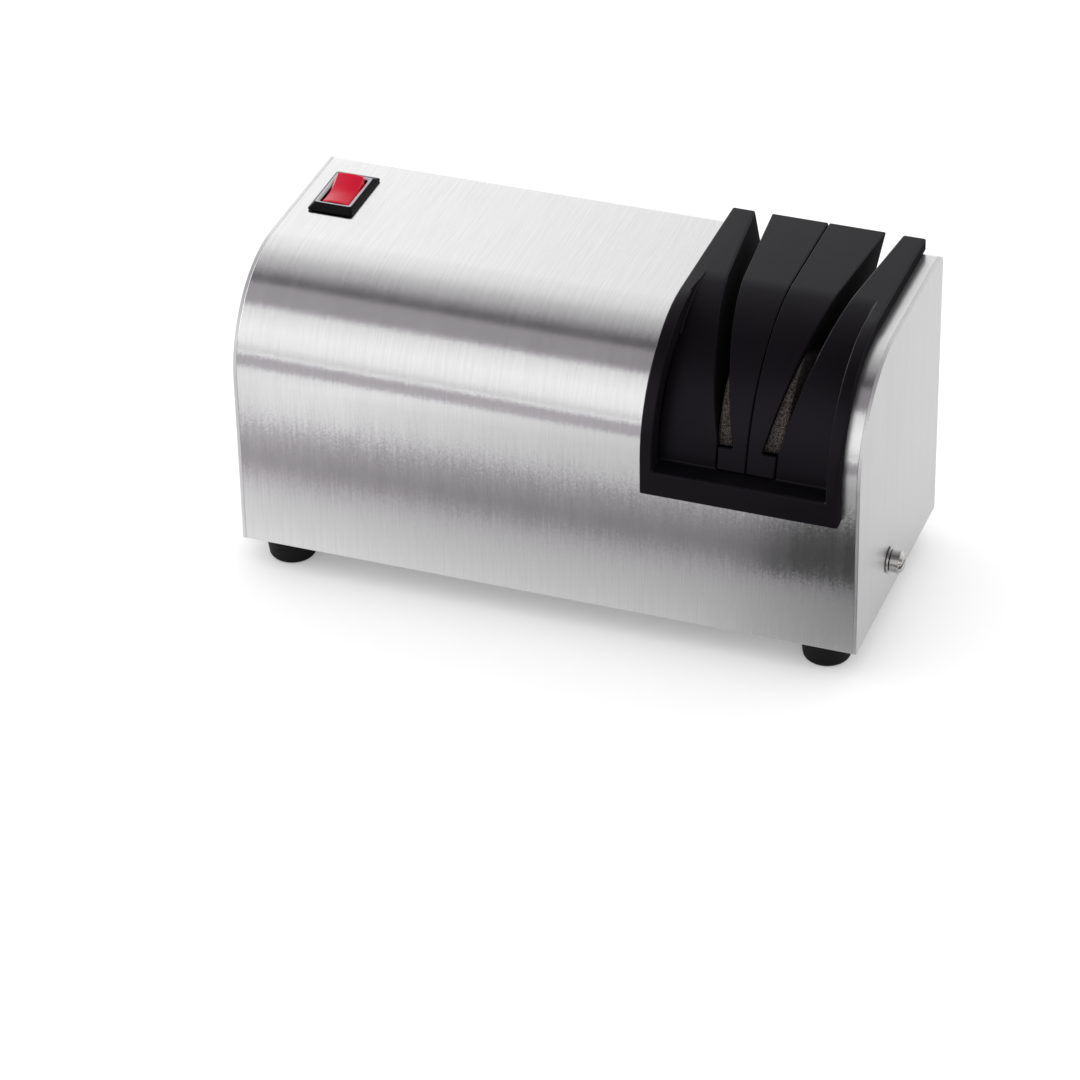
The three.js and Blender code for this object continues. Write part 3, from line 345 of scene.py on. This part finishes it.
def make_materials():
    """The finish of every material slot, and three more, for the end panels and the switch."""
    return {
        # Brushed round the bend: upright hairs, and crisp bands that smear from side to side
        "brushed_steel": brushed_stainless(
            "brushed_stainless", streak=(0.4, 25.0, 25.0), grain=(0.8, 0.8, 0.8),
            fringe=(1.2, 16.0, 16.0), tangent=(1.0, 0.0, 0.0), smooth=0.19, coarse=0.22,
        ),
        # The same steel on the end panels, duller, so that they show an even pale grey
        "panel_steel": brushed_stainless(
            "brushed_stainless_panel", streak=(25.0, 0.4, 25.0), grain=(0.8, 0.8, 0.8),
            fringe=(16.0, 1.2, 16.0), tangent=(0.0, 1.0, 0.0), smooth=0.34, coarse=0.38,
        ),
        # Soft grey mottle
        "zinc_steel": worked_metal(
            "zinc_plated_sheet", "#9C9D9C", "#B4B5B3", roughness=0.42, grain=2.5,
        ),
        # Small hard glints
        "screw_steel": worked_metal(
            "nickel_plated_steel", "#B9B8B6", "#CBCAC8", roughness=0.14, grain=0.8,
        ),
        # Black with one broad dull sheen
        "rubber": moulded(
            "moulded_black_rubber", "#09080A", "#0F0E11", roughness=0.55, grain=0.5, depth=0.02,
            specular=0.16,
        ),
        # Grey-black where it faces the light, with pale lines on its edges and dark slot walls
        "black_plastic": moulded(
            "moulded_black_abs", "#060507", "#0A080B", roughness=0.36, grain=0.35, depth=0.012,
            specular=0.15, gloss_tint="#F8ECFF", wall_dulling=0.55,
        ),
        # Blacker and smoother than the guide
        "switch_plastic": moulded(
            "glossy_black_nylon", "#050406", "#080709", roughness=0.30, grain=0.4, depth=0.004,
            specular=0.10,
        ),
        # A pale line round the rocker
        "ring_plastic": moulded(
            "satin_grey_ring", "#A2A2A8", "#AEAEB4", roughness=0.30, grain=0.5, depth=0.004,
        ),
        # Deep red, with a soft white shine on the half that is pressed down
        "red_plastic": moulded(
            "moulded_red_polycarbonate", "#C20228", "#D00430", roughness=0.22, grain=0.6, depth=0.004,
            specular=0.30,
        ),
        # Waxy off-white
        "nylon": moulded("natural_nylon", "#D6D1C4", "#E0DCD0", roughness=0.5, grain=0.6, depth=0.01),
        # Dull dark grey
        "laminations": worked_metal(
            "electrical_steel", "#5C5D61", "#77787C", roughness=0.5, grain=1.2,
        ),
        # Warm brown with a gloss
        "copper_wire": worked_metal(
            "enamelled_copper", "#9A5526", "#B96E3A", roughness=0.35, grain=0.6,
        ),
        # Matt and brownish
        "bronze": worked_metal("sintered_bronze", "#8F6E38", "#A9854A", roughness=0.5, grain=0.4),
        # Plain yellow shine
        "brass": worked_metal("stamped_brass", "#B8934E", "#CDAA62", roughness=0.3, grain=0.8),
        # Pale and softly bright
        "aluminium": worked_metal("turned_aluminium", "#AEB0B3", "#C6C8CB", roughness=0.35, grain=1.0),
        # Grey-brown speckle with no shine
        "abrasive": bonded_abrasive("bonded_aluminium_oxide"),
    }


# Edges up to the first angle are shaded smooth, those from the second on are rounded, and faces
# that differ by less than the third are one
SHARP_DEGREES = 28.0
EDGE_DEGREES = 50.0
FLAT_DEGREES = 0.5
# CAD corners nearer than this in millimetres are joined: the guide has slivers this wide
JOINED_CORNERS = {"guide_frame": 0.15}
PLAIN_JOINED_CORNERS = 0.01
# Widths of the rounded edges in millimetres: the mouldings' are wide enough to catch the light
EDGE_ROUNDS = {"guide_frame": 0.7, "wheel_guard_left": 0.6, "wheel_guard_right": 0.6}
PLAIN_EDGE_ROUND = 0.2
EDGE_SEGMENTS = 3
NORMAL_WEIGHT = 60


def smooth_bends_tree():
    """Modifier nodes that shade a mesh smooth and keep its sharp edges sharp."""
    tree = bpy.data.node_groups.new("smooth_bends", "GeometryNodeTree")
    tree.interface.new_socket("Geometry", in_out="INPUT", socket_type="NodeSocketGeometry")
    tree.interface.new_socket("Geometry", in_out="OUTPUT", socket_type="NodeSocketGeometry")
    entry = add(tree, "NodeGroupInput")
    angle = add(tree, "GeometryNodeInputMeshEdgeAngle")
    flat_enough = add(tree, "FunctionNodeCompare", {
        "A": angle.outputs["Unsigned Angle"], "B": math.radians(SHARP_DEGREES),
    }, data_type="FLOAT", operation="LESS_EQUAL")
    faces = add(tree, "GeometryNodeSetShadeSmooth", {
        "Geometry": entry.outputs[0], "Shade Smooth": True,
    }, domain="FACE")
    edges = add(tree, "GeometryNodeSetShadeSmooth", {
        "Geometry": faces.outputs[0], "Shade Smooth": flat_enough.outputs["Result"],
    }, domain="EDGE")
    leave = add(tree, "NodeGroupOutput")
    tree.links.new(edges.outputs[0], leave.inputs[0])
    return tree


def break_edges(obj, width, full_width=False):
    """Rounds sharp edges by a width in millimetres, or if not full by less where a piece is thin."""
    edge = obj.modifiers.new("broken_edges", "BEVEL")
    edge.limit_method = "ANGLE"
    edge.angle_limit = math.radians(EDGE_DEGREES)
    edge.width = width * MM
    edge.segments = EDGE_SEGMENTS
    edge.use_clamp_overlap = not full_width


def join_facets(obj):
    """Joins the facets of a CAD node, and merges those that lie in one plane."""
    weld = obj.modifiers.new("joined_corners", "WELD")
    weld.merge_threshold = JOINED_CORNERS.get(obj.name, PLAIN_JOINED_CORNERS) * MM
    flat = obj.modifiers.new("merged_facets", "DECIMATE")
    flat.decimate_type = "DISSOLVE"
    flat.angle_limit = math.radians(FLAT_DEGREES)


def even_shading(obj):
    """Keeps flat faces flat beside rounded edges."""
    weight = obj.modifiers.new("even_shading", "WEIGHTED_NORMAL")
    weight.keep_sharp = True
    weight.weight = NORMAL_WEIGHT


def dress_nodes(materials):
    """Gives every CAD node the finish of its slot, with softly broken edges."""
    smooth_tree = smooth_bends_tree()
    for name, obj in frame["nodes"].items():
        finish = "panel_steel" if name.startswith("end_panel") else SLOTS[name]
        obj.data.materials.clear()
        obj.data.materials.append(materials[finish])
        join_facets(obj)
        break_edges(obj, EDGE_ROUNDS.get(name, PLAIN_EDGE_ROUND), name in EDGE_ROUNDS)
        obj.modifiers.new("smooth_bends", "NODES").node_group = smooth_tree
        even_shading(obj)


def bench(x, y, z):
    """A place in millimetres on the bench, in the model's own frame."""
    return (BENCH_ORIGIN + Vector((x, y, z))) * MM


def mesh_piece(name, vertices, faces, materials, node, body):
    """A new piece from points and faces, which stands for a CAD node."""
    mesh = bpy.data.meshes.new(name)
    mesh.from_pydata(vertices, [], faces)
    for material in materials:
        mesh.materials.append(material)
    for polygon in mesh.polygons:
        polygon.use_smooth = True
    obj = bpy.data.objects.new(name, mesh)
    bpy.context.collection.objects.link(obj)
    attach(obj, body)
    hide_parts(node)
    return obj


def ring_faces(ring_count, segments, closed):
    """The quads between rings of points, each ring having the same number of them."""
    faces = []
    for ring in range(ring_count if closed else ring_count - 1):
        following = (ring + 1) % ring_count
        for step in range(segments):
            beside = (step + 1) % segments
            faces.append((
                ring * segments + step,
                ring * segments + beside,
                following * segments + beside,
                following * segments + step,
            ))
    return faces


def bend_points(centre, radius, start_degrees, steps):
    """A quarter turn of a bend in y and z, from the given angle on."""
    points = []
    for step in range(steps + 1):
        turn = math.radians(start_degrees + 90 * step / steps)
        points.append((centre[0] + radius * math.cos(turn), centre[1] + radius * math.sin(turn)))
    return points


def wrap_profile():
    """The outline of the bent sheet from the lower back edge over the top to the lower front edge."""
    back_centre = (HOUSING_DEPTH - BACK_BEND, HOUSING_HEIGHT - BACK_BEND)
    front_centre = (FRONT_BEND, HOUSING_HEIGHT - FRONT_BEND)
    back_heights = (0.0, GLAND_Z - GLAND_HOLE_HALF, GLAND_Z + GLAND_HOLE_HALF, CUTOUT_BOTTOM)
    return [
        *((HOUSING_DEPTH, z) for z in back_heights),
        *bend_points(back_centre, BACK_BEND, 0, SMALL_BEND_STEPS),
        (SWITCH_PLACE.y + SWITCH_HOLE[1] / 2, HOUSING_HEIGHT),
        (SWITCH_PLACE.y - SWITCH_HOLE[1] / 2, HOUSING_HEIGHT),
        *bend_points(front_centre, FRONT_BEND, 90, BEND_STEPS),
        (0.0, CUTOUT_BOTTOM),
        (0.0, 0.0),
    ]


def is_open(x, y, z):
    """Whether a place on the sheet lies in one of its openings."""
    in_guide = CUTOUT_LEFT < x < CUTOUT_RIGHT and z > CUTOUT_BOTTOM
    on_top = z > HOUSING_HEIGHT - SHEET
    beside_switch = abs(x - SWITCH_PLACE.x) < SWITCH_HOLE[0] / 2
    in_switch = on_top and beside_switch and abs(y - SWITCH_PLACE.y) < SWITCH_HOLE[1] / 2
    at_back = y > HOUSING_DEPTH - SHEET
    beside_gland = abs(x - GLAND_X) < GLAND_HOLE_HALF
    in_gland = at_back and beside_gland and abs(z - GLAND_Z) < GLAND_HOLE_HALF
    return in_guide or in_switch or in_gland


def make_wrap(materials):
    """The bent steel sheet, with its openings for the guide, the switch and the gland."""
    profile = wrap_profile()
    columns = sorted([
        WRAP_END, SWITCH_PLACE.x - SWITCH_HOLE[0] / 2, SWITCH_PLACE.x + SWITCH_HOLE[0] / 2,
        GLAND_X - GLAND_HOLE_HALF, GLAND_X + GLAND_HOLE_HALF, CUTOUT_LEFT, CUTOUT_RIGHT,
        HOUSING_LENGTH - WRAP_END,
    ])
    width = len(columns)
    faces = []
    for row, (here, after) in enumerate(zip(profile, profile[1:])):
        for column in range(width - 1):
            middle_x = (columns[column] + columns[column + 1]) / 2
            if is_open(middle_x, (here[0] + after[0]) / 2, (here[1] + after[1]) / 2):
                continue
            corner = row * width + column
            faces.append((corner, corner + width, corner + width + 1, corner + 1))
    vertices = [bench(x, y, z) for y, z in profile for x in columns]
    finishes = [materials["brushed_steel"]]
    obj = mesh_piece("steel_wrap", vertices, faces, finishes, "housing_wrap", "housing")
    sheet = obj.modifiers.new("sheet", "SOLIDIFY")
    sheet.thickness = SHEET * MM
    sheet.offset = -1
    sheet.use_even_offset = True
    break_edges(obj, WRAP_EDGE)
    even_shading(obj)


def foot_profile():
    """The moulded foot: a slight flare, a softly rounded tread and a stepped screw bore."""
    bore = [
        (FOOT_BORE, FOOT_TOP),
        (FOOT_BORE, FOOT_POCKET_TOP),
        (FOOT_POCKET, FOOT_POCKET_TOP),
        (FOOT_POCKET, -FOOT_HEIGHT),
    ]
    tread = []
    for step in range(FOOT_ROUND_STEPS + 1):
        turn = math.radians(-90 + FOOT_ROUND_DEGREES * step / FOOT_ROUND_STEPS)
        tread.append((
            FOOT_TREAD + FOOT_ROUND * math.cos(turn),
            FOOT_ROUND - FOOT_HEIGHT + FOOT_ROUND * math.sin(turn),
        ))
    return [*bore, *tread, *FOOT_SHOULDER]


def make_feet(materials):
    """Four rubber feet, each turned from one profile."""
    profile = foot_profile()
    places = [
        (x, y)
        for x in (FOOT_INSET_X, HOUSING_LENGTH - FOOT_INSET_X)
        for y in (FOOT_INSET_Y, HOUSING_DEPTH - FOOT_INSET_Y)
    ]
    faces = ring_faces(len(profile), FOOT_SEGMENTS, True)
    for index, (x, y) in enumerate(places, start=1):
        vertices = []
        for radius, height in profile:
            for step in range(FOOT_SEGMENTS):
                turn = math.tau * step / FOOT_SEGMENTS
                vertices.append(bench(x + radius * math.cos(turn), y + radius * math.sin(turn), height))
        obj = mesh_piece(
            f"rubber_foot_{index}", vertices, faces, [materials["rubber"]], f"foot_{index}", "housing",
        )
        even_shading(obj)


def rounded_ring(place, size, corner, height):
    """The points of a level rectangle with round corners."""
    points = []
    for quarter, (side_x, side_y) in enumerate(((1, 1), (-1, 1), (-1, -1), (1, -1))):
        for step in range(CORNER_STEPS + 1):
            turn = math.radians(90 * (quarter + step / CORNER_STEPS))
            points.append(bench(
                place.x + side_x * (size[0] / 2 - corner) + corner * math.cos(turn),
                place.y + side_y * (size[1] / 2 - corner) + corner * math.sin(turn),
                place.z + height,
            ))
    return points


def make_bezel(materials):
    """The switch body and its collar: black sloping flanks round a paler ring and a deep well."""
    well_top = (WELL[0] + 2 * WELL_BEVEL, WELL[1] + 2 * WELL_BEVEL)
    rings = [
        (SWITCH_BODY, BODY_CORNER, -SWITCH_DEPTH),
        (SWITCH_BODY, BODY_CORNER, 0.0),
        (BEZEL_FOOT, BEZEL_FOOT_CORNER, 0.0),
        (BEZEL_FOOT, BEZEL_FOOT_CORNER, BEZEL_LIP),
        (BEZEL_TOP, BEZEL_TOP_CORNER, BEZEL_HEIGHT),
        (well_top, WELL_TOP_CORNER, BEZEL_HEIGHT),
        (WELL, WELL_CORNER, BEZEL_HEIGHT - WELL_BEVEL),
        (WELL, WELL_CORNER, -WELL_DEPTH),
    ]
    # The pale ring is the part between these two rings of points
    pale_from = 4
    pale_to = 6
    vertices = []
    for size, corner, height in rings:
        vertices += rounded_ring(SWITCH_PLACE, size, corner, height)
    segments = len(vertices) // len(rings)
    faces = ring_faces(len(rings), segments, False)
    faces.append(tuple(reversed(range(segments))))
    faces.append(tuple(range(len(vertices) - segments, len(vertices))))
    finishes = [materials["switch_plastic"], materials["ring_plastic"]]
    obj = mesh_piece("switch_collar", vertices, faces, finishes, "switch_housing", "housing")
    for polygon in obj.data.polygons:
        if pale_from * segments <= polygon.index < pale_to * segments:
            polygon.material_index = 1
    break_edges(obj, BEZEL_EDGE)
    even_shading(obj)


def rocker_profile():
    """The side view of the rocker about its pivot: a softened valley over a keel."""
    rise = ROCKER_REACH * math.tan(math.radians(ROCKER_TILT))
    span = math.hypot(ROCKER_REACH, ROCKER_SOFTNESS) - ROCKER_SOFTNESS
    top = []
    for step in range(ROCKER_STEPS + 1):
        y = ROCKER_REACH - 2 * ROCKER_REACH * step / ROCKER_STEPS
        lift = (math.hypot(y, ROCKER_SOFTNESS) - ROCKER_SOFTNESS) / span
        top.append((y, ROCKER_FACE + rise * lift))
    side = ROCKER_REACH - ROCKER_TUCK
    return [*top, (-side, -ROCKER_SKIRT), (0.0, -ROCKER_KEEL), (side, -ROCKER_SKIRT)]


def make_rocker(materials):
    """The red rocker, pressed down at the front and slightly crowned from side to side."""
    profile = rocker_profile()
    tilt = Matrix.Rotation(math.radians(ROCKER_TILT), 3, "X")
    vertices = []
    for share in ROCKER_COLUMN_SHARES:
        for y, z in profile:
            sag = ROCKER_CROWN * share ** 2 if z > 0 else 0.0
            point = Vector((share * ROCKER_WIDTH / 2, y, z - sag))
            vertices.append(bench(*(PIVOT_PLACE + tilt @ point)))
    count = len(profile)
    columns = len(ROCKER_COLUMN_SHARES)
    faces = ring_faces(columns, count, False)
    faces.append(tuple(reversed(range(count))))
    faces.append(tuple(range((columns - 1) * count, columns * count)))
    finishes = [materials["red_plastic"]]
    obj = mesh_piece("red_rocker", vertices, faces, finishes, "switch_rocker", "rocker")
    break_edges(obj, ROCKER_EDGE)
    even_shading(obj)


def make_camera():
    """The photograph's camera, from its place, its three angles and its focal length in pixels."""
    azimuth = math.radians(CAMERA_AZIMUTH)
    elevation = math.radians(CAMERA_ELEVATION)
    roll = math.radians(CAMERA_ROLL)
    back = Vector((
        math.sin(azimuth) * math.cos(elevation),
        -math.cos(azimuth) * math.cos(elevation),
        math.sin(elevation),
    ))
    level = Vector((math.cos(azimuth), math.sin(azimuth), 0.0))
    above = back.cross(level)
    right = level * math.cos(roll) + above * math.sin(roll)
    up = above * math.cos(roll) - level * math.sin(roll)
    data = bpy.data.cameras.new("photo_camera")
    data.sensor_width = SENSOR_WIDTH
    data.lens = FOCAL_PIXELS / PHOTO_SIZE * SENSOR_WIDTH
    data.clip_start = CLIP_START
    camera = bpy.data.objects.new("photo_camera", data)
    turn = Matrix((right, up, back)).transposed().to_4x4()
    camera.matrix_world = Matrix.Translation(CAMERA_PLACE) @ turn
    bpy.context.collection.objects.link(camera)
    bpy.context.scene.camera = camera


# Brightness of the tent by the angle round the X axis: 0 looks level to the back,
# 90 straight up and 180 level to the front
STUDIO = [
    (0, 1.90), (20, 1.60), (32, 1.20), (50, 1.11), (60, 0.99), (68, 0.78), (78, 0.60), (86, 0.44),
    (92, 0.27), (97, 0.14), (103, 0.14), (107, 0.40), (124, 0.37), (128, 0.44), (133, 0.92),
    (140, 1.01), (154, 1.15), (170, 1.09), (180, 0.70),
]
HALF_TURN = 180
# Its share of that brightness by the way sideways, from -1 at the left to 1 at the right
STUDIO_SIDE = [
    (-1.0, 0.80), (-0.6, 1.0), (-0.34, 0.76), (-0.22, 0.56), (-0.10, 0.42), (0.10, 0.36),
    (0.28, 0.46), (0.6, 0.60), (1.0, 0.65),
]
STUDIO_LEVEL = 1.27
# Between these angles the share turns into one that is the same from side to side
EVEN_FROM = 127.0
EVEN_TO = 134.0
EVEN_SHARE = 0.77
# A lamp at the far left, which lights up the edges that face it
SIDE_LAMP = 6.0
SIDE_LAMP_FROM = 0.75
SIDE_LAMP_TO = 0.84
# The light on matt surfaces, from straight below and from straight above
SHADE_LOW = 0.85
SHADE_HIGH = 1.15
# Parts of the studio darker than this are faintly violet
GAP_LEVEL = 0.5
GAP_TINT = (1.0, 0.96, 1.01)


def light(level, tinted=False):
    """A grey of the given brightness, or one with the tint of the dark parts."""
    tint = GAP_TINT if tinted else (1.0, 1.0, 1.0)
    return (*(level * part for part in tint), 1.0)


def background(tree, colour, strength):
    """One light that comes from all around."""
    return add(tree, "ShaderNodeBackground", {"Color": colour, "Strength": strength}).outputs[0]


def mixed(tree, share, first, second):
    """Two shaders mixed by a share, which is 0 for the first alone and 1 for the second."""
    return add(tree, "ShaderNodeMixShader", {"Fac": share, 1: first, 2: second}).outputs[0]


def tent_light(tree, parts):
    """The bright tent with its dark gap, which the steel mirrors."""
    turn = calculated(tree, "ARCTAN2", parts.outputs["Z"], parts.outputs["Y"])
    share = calculated(tree, "DIVIDE", turn, math.pi)
    peak = max(level for _, level in STUDIO)
    colour = ramp(tree, share, [
        (angle / HALF_TURN, light(level / peak, level < GAP_LEVEL)) for angle, level in STUDIO
    ])
    across = mapped(tree, parts.outputs["X"], (-1.0, 1.0))
    side = ramp(tree, across, [((way + 1) / 2, light(level)) for way, level in STUDIO_SIDE])
    even_ends = (EVEN_FROM / HALF_TURN, EVEN_TO / HALF_TURN)
    evened = mapped(tree, share, even_ends, (side, EVEN_SHARE))
    return background(tree, colour, calculated(tree, "MULTIPLY", evened, peak * STUDIO_LEVEL))


def with_side_lamp(tree, parts, first):
    """A light that gives way to the side lamp at the far left."""
    ends = (-SIDE_LAMP_FROM, -SIDE_LAMP_TO)
    share = mapped(tree, parts.outputs["X"], ends, interpolation_type="SMOOTHSTEP")
    return mixed(tree, share, first, background(tree, WHITE, SIDE_LAMP))


def even_light(tree, parts):
    """The nearly even light that matt surfaces get."""
    return background(tree, WHITE, mapped(tree, parts.outputs["Z"], (-1.0, 1.0), (SHADE_LOW, SHADE_HIGH)))


def make_world():
    """A soft studio: mirrors see the tent, matt surfaces an even light, and the camera plain white."""
    world = bpy.data.worlds.new("soft_studio")
    world.use_nodes = True
    tree = world.node_tree
    tree.nodes.clear()
    place = add(tree, "ShaderNodeTexCoord")
    parts = add(tree, "ShaderNodeSeparateXYZ", {"Vector": place.outputs["Generated"]})
    mirrored = with_side_lamp(tree, parts, tent_light(tree, parts))
    path = add(tree, "ShaderNodeLightPath")
    lighting = mixed(tree, path.outputs["Is Glossy Ray"], even_light(tree, parts), mirrored)
    seen = mixed(tree, path.outputs["Is Camera Ray"], lighting, background(tree, WHITE, 1.0))
    add(tree, "ShaderNodeOutputWorld", {"Surface": seen})
    bpy.context.scene.world = world


def flat_sheet(name, low, high, height, material):
    """A level sheet of the studio, in metres."""
    mesh = bpy.data.meshes.new(name)
    corners = [
        (low[0], low[1], height),
        (high[0], low[1], height),
        (high[0], high[1], height),
        (low[0], high[1], height),
    ]
    mesh.from_pydata(corners, [], [(0, 1, 2, 3)])
    mesh.materials.append(material)
    obj = bpy.data.objects.new(name, mesh)
    bpy.context.collection.objects.link(obj)
    return obj


# How far the floor reaches in metres, and how much it glows for the camera and in mirrors
FLOOR_REACH = 6.0
FLOOR_LIFT = 0.25
MIRRORED_LIFT = 0.02


def make_floor():
    """White paper, which shows white to the camera and in the steel but for the shadow on it."""
    material, tree = new_material("white_paper_floor")
    paper = add(tree, "ShaderNodeBsdfPrincipled", {
        "Base Color": linear("#E9E9E9"), "Roughness": 0.9, "Specular IOR Level": 0.1,
    })
    path = add(tree, "ShaderNodeLightPath")
    mirrored = calculated(
        tree, "MAXIMUM", path.outputs["Is Glossy Ray"], path.outputs["Is Transmission Ray"],
    )
    mirrored_lift = calculated(tree, "MULTIPLY", mirrored, MIRRORED_LIFT)
    lift = calculated(tree, "MULTIPLY_ADD", path.outputs["Is Camera Ray"], FLOOR_LIFT, mirrored_lift)
    glow = add(tree, "ShaderNodeEmission", {"Color": WHITE, "Strength": lift})
    both = add(tree, "ShaderNodeAddShader", {0: paper.outputs[0], 1: glow.outputs[0]})
    add(tree, "ShaderNodeOutputMaterial", {"Surface": both.outputs[0]})
    flat_sheet("floor", (-FLOOR_REACH, -FLOOR_REACH), (FLOOR_REACH, FLOOR_REACH), 0.0, material)


# The graded card in front: brightness by the distance from the front face in millimetres, and
# its share of that by the place along the housing
CARD = [
    (12, 0.84), (22, 0.76), (40, 0.64), (53, 0.48), (60, 0.28), (65, 0.25), (74, 0.34), (88, 0.42),
    (91, 0.78), (110, 0.84), (250, 0.85), (300, 0.45), (1200, 0.42), (2500, 1.0),
]
CARD_SIDE = [
    (-100, 1.0), (-42, 1.02), (-30, 1.10), (-22, 1.20), (-14, 1.08), (-4, 1.01), (20, 0.96),
    (60, 0.86), (130, 0.76), (165, 0.68), (190, 0.52), (215, 0.40), (300, 0.35),
]
CARD_LEVEL = 1.15
# A small dark card at the right, from its far left corner to its near right one
DARK_CARD = [(176, 94), (300, 52)]
DARK_CARD_LEVEL = 0.05
# How far the graded card reaches sideways, and how high both lie, in metres
CARD_REACH = 3.0
CARD_HEIGHT = 0.001
DARK_CARD_HEIGHT = 0.0015


def glowing(tree, colour, strength):
    """Ends a card's material in a plain glow."""
    glow = add(tree, "ShaderNodeEmission", {"Color": colour, "Strength": strength})
    add(tree, "ShaderNodeOutputMaterial", {"Surface": glow.outputs[0]})


def card_bands(tree, away):
    """The card's brightness by the distance, whose stops are spaced by their logarithms."""
    nearest = CARD[0][0]
    ratio = CARD[-1][0] / nearest
    share = calculated(tree, "LOGARITHM", calculated(tree, "DIVIDE", away, nearest), ratio)
    return ramp(tree, share, [
        (math.log(distance / nearest, ratio), light(level, level < GAP_LEVEL))
        for distance, level in CARD
    ])


def card_side(tree, across):
    """The card's share of that brightness from side to side."""
    left = CARD_SIDE[0][0]
    right = CARD_SIDE[-1][0]
    peak = max(level for _, level in CARD_SIDE)
    share = mapped(tree, across, (bench(left, 0, 0)[0], bench(right, 0, 0)[0]))
    side = ramp(tree, share, [
        ((x - left) / (right - left), light(level / peak)) for x, level in CARD_SIDE
    ])
    return calculated(tree, "MULTIPLY", side, CARD_LEVEL * peak)


def make_graded_card():
    """The card that gives the housing's front its bands."""
    material, tree = new_material("graded_card")
    place = add(tree, "ShaderNodeTexCoord")
    parts = add(tree, "ShaderNodeSeparateXYZ", {"Vector": place.outputs["Object"]})
    one_away = (bench(0, 0, 0)[1], bench(0, -1, 0)[1])
    away = mapped(tree, parts.outputs["Y"], one_away, clamp=False)
    glowing(tree, card_bands(tree, away), card_side(tree, parts.outputs["X"]))
    near = bench(0, -CARD[0][0], 0)[1]
    far = near - CARD[-1][0] * MM
    return flat_sheet("graded_card", (-CARD_REACH, far), (CARD_REACH, near), CARD_HEIGHT, material)


def make_black_card():
    """The card that gives the front its dark patch at the right."""
    material, tree = new_material("black_card")
    glowing(tree, WHITE, DARK_CARD_LEVEL)
    low, high = (bench(x, -away, 0)[:2] for x, away in DARK_CARD)
    return flat_sheet("black_card", low, high, DARK_CARD_HEIGHT, material)


def make_cards():
    """Two cards on the floor that are seen only in mirrors."""
    for card in (make_graded_card(), make_black_card()):
        card.visible_camera = False
        card.visible_diffuse = False
        card.visible_shadow = False
        card.visible_transmission = False


make_camera()
MATERIALS = make_materials()
dress_nodes(MATERIALS)
make_wrap(MATERIALS)
make_feet(MATERIALS)
make_bezel(MATERIALS)
make_rocker(MATERIALS)
make_world()
make_floor()
make_cards()

bpy.context.scene.view_settings.view_transform = "Standard"
